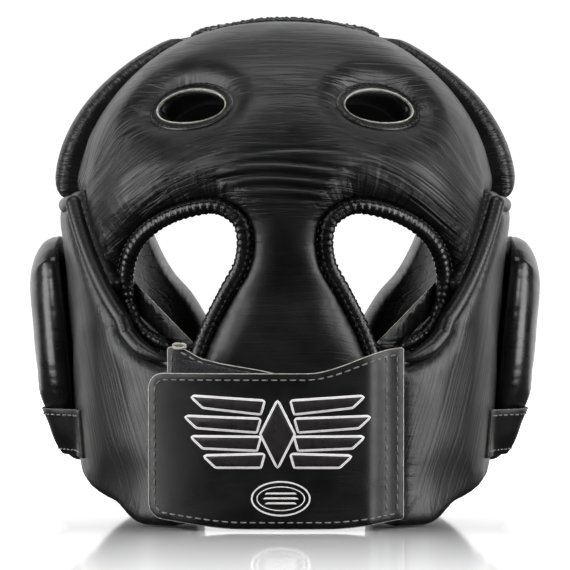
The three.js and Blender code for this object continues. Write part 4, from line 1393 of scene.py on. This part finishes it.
class HEADGEAR_OT_straps(bpy.types.Operator):
    """Build the chin strap and the crown tabs"""

    bl_idname = "headgear.straps"
    bl_label = "Straps"

    def execute(self, context):
        looks = [LOOKS["flat"], LOOKS["dim_raw"]]
        low, high = CHIN["low"], CHIN["high"]
        left = band_outline(CHIN["rear"], 180 - CHIN["left_end"], low, high)
        piece = jaw_band("chin_strap_left", left, CHIN_LIFT["band"], STRAP, looks, flip=True)
        put(piece, GUARD, "strap_leather", "chin_strap_left")
        right = band_outline(CHIN["rear"], CHIN["sewn"], low, high)
        piece = jaw_band("chin_strap_right", right, CHIN_LIFT["band"], STRAP, looks)
        put(piece, GUARD, "strap_leather", "chin_strap_right")
        tape = band_outline(CHIN["left_end"] + 2, CHIN["flap_end"], low + 2, high - 2)
        piece = jaw_band("chin_loop_patch", tape, CHIN_LIFT["loop"], TAPE, [LOOKS["loops"]] * 2)
        put(piece, GUARD, "tape", "chin_loop_patch")
        body = "chin_flap_body"
        tape = band_outline(CHIN["left_end"] + 2, CHIN["flap_end"] - 2, low + 2, high - 2)
        piece = jaw_band("chin_hook_patch", tape, CHIN_LIFT["hook"], TAPE, [LOOKS["hooks"]] * 2)
        put(piece, body, "tape", "chin_hook_patch")

        def drop(angle):
            return 3.0 * (1 - smooth((angle - CHIN["sewn"]) / (CHIN["left_end"] - CHIN["sewn"])))
        flap = band_outline(CHIN["sewn"] - 6, CHIN["flap_end"], low, high, True)
        piece = jaw_band("chin_flap", flap, CHIN_LIFT["flap"], STRAP, looks, drop)
        put(piece, body, "strap_leather", "chin_flap")
        self.seams(context, drop)
        self.crown(context)
        return {"FINISHED"}

    def seams(self, context, drop):
        band = jaw_place(CHIN_LIFT["band"] + STRAP + 0.1)
        flap = jaw_place(CHIN_LIFT["flap"] + STRAP + 0.1, drop)
        rows = (CHIN["low"] + 3, CHIN["high"] - 3)
        right = np.arange(CHIN["rear"] + 1, CHIN["sewn"] - 8, 1.0)
        left = np.arange(CHIN["rear"] + 1, CHIN["left_end"] - 4, 1.0)
        over = np.arange(CHIN["sewn"] - 4, CHIN["flap_end"] - 5, 1.0)
        paths = [band(right, z + 0 * right, 0 * right) for z in rows]
        paths += [band(left, z + 0 * left, 0 * left) * np.array([-1, 1, 1]) for z in rows]
        put(sew(context, "chin_strap_stitches", paths), GUARD, "strap_leather")
        paths = [flap(over, z + 0 * over, 0 * over) for z in rows]
        put(sew(context, "chin_flap_stitches", paths), "chin_flap_body", "strap_leather")

    def crown(self, context):
        looks = [LOOKS["flat"], LOOKS["raw"]]
        loops, hooks = [LOOKS["loops"]] * 2, [LOOKS["hooks"]] * 2
        body = "crown_flap_body"
        for name, y, half, z0, thick, use, material, slot in (
            ("crown_tab_rear", (-26.3, 14), 24, CROWN_LIFT["rear"], STRAP, GUARD, looks, "strap_leather"),
            ("crown_loop_patch", (-16, 12), 20, CROWN_LIFT["loop"], TAPE, GUARD, loops, "tape"),
            ("crown_hook_patch", (-14, 12), 20, CROWN_LIFT["hook"], TAPE, body, hooks, "tape"),
            ("crown_flap", (-16, 15.7), 24, CROWN_LIFT["flap"], STRAP, body, looks, "strap_leather"),
            ("crown_tab_front", (16, 26.3), 24, CROWN_LIFT["flap"], STRAP, GUARD, looks, "strap_leather"),
        ):
            shape = np.array([(-half, y[0]), (half, y[0]), (half, y[1]), (-half, y[1])], float)

            def place(x, y, height, z0=z0):
                return np.stack([x, y, z0 + height - x * x / 260 - y * y / 260], axis=-1)
            put(plate(name, [[shape]], place, thick, 2.5, material), use, slot, name)


FLOOR = -0.0003  # just below what the headgear stands on


class HEADGEAR_OT_stage(bpy.types.Operator):
    """Set the camera, the lights, the floor and the backdrop"""

    bl_idname = "headgear.stage"
    bl_label = "Stage"

    def execute(self, context):
        scene = context.scene
        data = bpy.data.cameras.new("camera")
        data.lens = 184.3
        data.sensor_width = 36.0
        camera = bpy.data.objects.new("camera", data)
        camera.location = (0.0, -1.5025, 0.105)
        camera.rotation_euler = (math.radians(90.44), 0, 0)
        scene.collection.objects.link(camera)
        scene.camera = camera
        scene.view_settings.view_transform = "Standard"
        world = bpy.data.worlds.new("studio")
        world.use_nodes = True
        world.node_tree.nodes["Background"].inputs[0].default_value = (0.9, 0.92, 0.95, 1)
        world.node_tree.nodes["Background"].inputs[1].default_value = 0.035
        scene.world = world
        for name, place, aim, size, power in (
            ("left_strip", (-1.25, -0.35, 0.30), (0, 0, 0.12), (0.7, 1.1), 12.0),
            ("right_strip", (1.25, -0.35, 0.30), (0, 0, 0.12), (0.7, 1.1), 12.0),
            ("top_box", (0.0, -0.1, 1.3), (0, 0, 0.15), (1.1, 0.6), 4.5),
            ("front_left", (-1.2, -1.4, 1.0), (0, 0, 0.12), (0.6, 0.6), 7.0),
            ("front_right", (1.2, -1.4, 1.0), (0, 0, 0.12), (0.6, 0.6), 7.0),
        ):
            light = bpy.data.lights.new(name, "AREA")
            light.shape = "RECTANGLE"
            light.size, light.size_y = size
            light.energy = power
            lamp = bpy.data.objects.new(name, light)
            lamp.location = place
            lamp.rotation_euler = (Vector(aim) - Vector(place)).to_track_quat("-Z", "Y").to_euler()
            scene.collection.objects.link(lamp)
        corners = ((-6, -6), (6, -6), (6, 4), (-6, 4))
        floor = self.sheet("floor", [(x, y, FLOOR) for x, y in corners], 0.62, 0.07)
        # The floor glows less near the headgear: a painted shadow pool round its foot.
        self.shade(floor)
        self.sheet("backdrop", [(-6, 4, -0.5), (6, 4, -0.5), (6, 4, 5), (-6, 4, 5)], 1.0, 0.6)
        self.sheet("left_wall", [(-6, -6, -0.5), (-6, 4, -0.5), (-6, 4, 5), (-6, -6, 5)], 1.0, 0.6)
        self.sheet("right_wall", [(6, 4, -0.5), (6, -6, -0.5), (6, -6, 5), (6, 4, 5)], 1.0, 0.6)
        self.sheet("near_wall", [(6, -6, -0.5), (-6, -6, -0.5), (-6, -6, 5), (6, -6, 5)], 1.0, 0.6)
        return {"FINISHED"}

    def sheet(self, name, corners, glow, roughness):
        mesh = bpy.data.meshes.new(name)
        mesh.from_pydata(corners, [], [(0, 1, 2, 3)])
        material = bpy.data.materials.new(name)
        material.use_nodes = True
        shader = material.node_tree.nodes["Principled BSDF"]
        shader.inputs["Base Color"].default_value = (0.86, 0.86, 0.86, 1)
        shader.inputs["Roughness"].default_value = roughness
        shader.inputs["Emission Color"].default_value = (1, 1, 1, 1)
        shader.inputs["Emission Strength"].default_value = glow
        mesh.materials.append(material)
        sheet = bpy.data.objects.new(name, mesh)
        bpy.context.scene.collection.objects.link(sheet)
        sheet.visible_glossy = name == "backdrop"
        sheet.visible_diffuse = False
        return sheet

    def step(self, tree, operation, a, b=0.0):
        node = tree.nodes.new("ShaderNodeMath")
        node.operation = operation
        for socket, value in zip(node.inputs, (a, b)):
            if isinstance(value, bpy.types.NodeSocket):
                tree.links.new(value, socket)
            else:
                socket.default_value = value
        return node.outputs[0]

    def shade(self, floor):
        """The floor glows less close to the headgear: a painted shadow pool round its foot, which also lets
        its mirror image show there.
        """
        tree = floor.data.materials[0].node_tree
        place = tree.nodes.new("ShaderNodeTexCoord").outputs["Object"]
        parts = tree.nodes.new("ShaderNodeSeparateXYZ")
        tree.links.new(place, parts.inputs[0])
        deep = self.step(tree, "ABSOLUTE", self.step(tree, "ADD", parts.outputs["Y"], 0.115))
        aside = self.step(tree, "SUBTRACT", self.step(tree, "ABSOLUTE", parts.outputs["X"]), 0.1)
        beside = self.step(tree, "MULTIPLY", aside, 6.0)
        size = self.step(tree, "MAXIMUM", deep, beside)
        # Painted shadow: the glow is nil right by the headgear and rises to full strength further out.
        near = self.ramp(tree, size, 0.01, 0.24, 0.62)
        far = self.ramp(tree, size, 0.24, 0.45, 0.38)
        glow = self.step(tree, "ADD", near, far)
        tree.links.new(glow, tree.nodes["Principled BSDF"].inputs["Emission Strength"])

    def ramp(self, tree, value, start, end, top):
        node = tree.nodes.new("ShaderNodeMapRange")
        node.inputs["From Min"].default_value = start
        node.inputs["From Max"].default_value = end
        node.inputs["To Max"].default_value = top
        tree.links.new(value, node.inputs["Value"])
        return node.outputs["Result"]


PIECES = (
    HEADGEAR_OT_stage,
    HEADGEAR_OT_dome,
    HEADGEAR_OT_brow,
    HEADGEAR_OT_sides,
    HEADGEAR_OT_ear_pads,
    HEADGEAR_OT_trim,
    HEADGEAR_OT_closure,
    HEADGEAR_OT_emblem,
    HEADGEAR_OT_straps,
)


class HEADGEAR_PT_pieces(bpy.types.Panel):
    bl_idname = "HEADGEAR_PT_pieces"
    bl_label = "Headgear"
    bl_space_type = "VIEW_3D"
    bl_region_type = "UI"
    bl_category = "Headgear"

    def draw(self, context):
        column = self.layout.column()
        for group in (context.scene.headgear_sizes, context.scene.headgear_colours):
            for name in group.__annotations__:
                column.prop(group, name)
        for piece in PIECES:
            column.operator(piece.bl_idname)


CLASSES = (HeadgearSizes, HeadgearColours, *PIECES, HEADGEAR_PT_pieces)


def register():
    for cls in CLASSES:
        bpy.utils.register_class(cls)
    bpy.types.Scene.headgear_sizes = bpy.props.PointerProperty(type=HeadgearSizes)
    bpy.types.Scene.headgear_colours = bpy.props.PointerProperty(type=HeadgearColours)


def unregister():
    del bpy.types.Scene.headgear_colours
    del bpy.types.Scene.headgear_sizes
    for cls in reversed(CLASSES):
        bpy.utils.unregister_class(cls)


def main():
    register()
    make_looks(bpy.context.scene.headgear_colours)
    for piece in PIECES:
        group, name = piece.bl_idname.split(".")
        getattr(getattr(bpy.ops, group), name)()


if __name__ == "__main__":
    main()
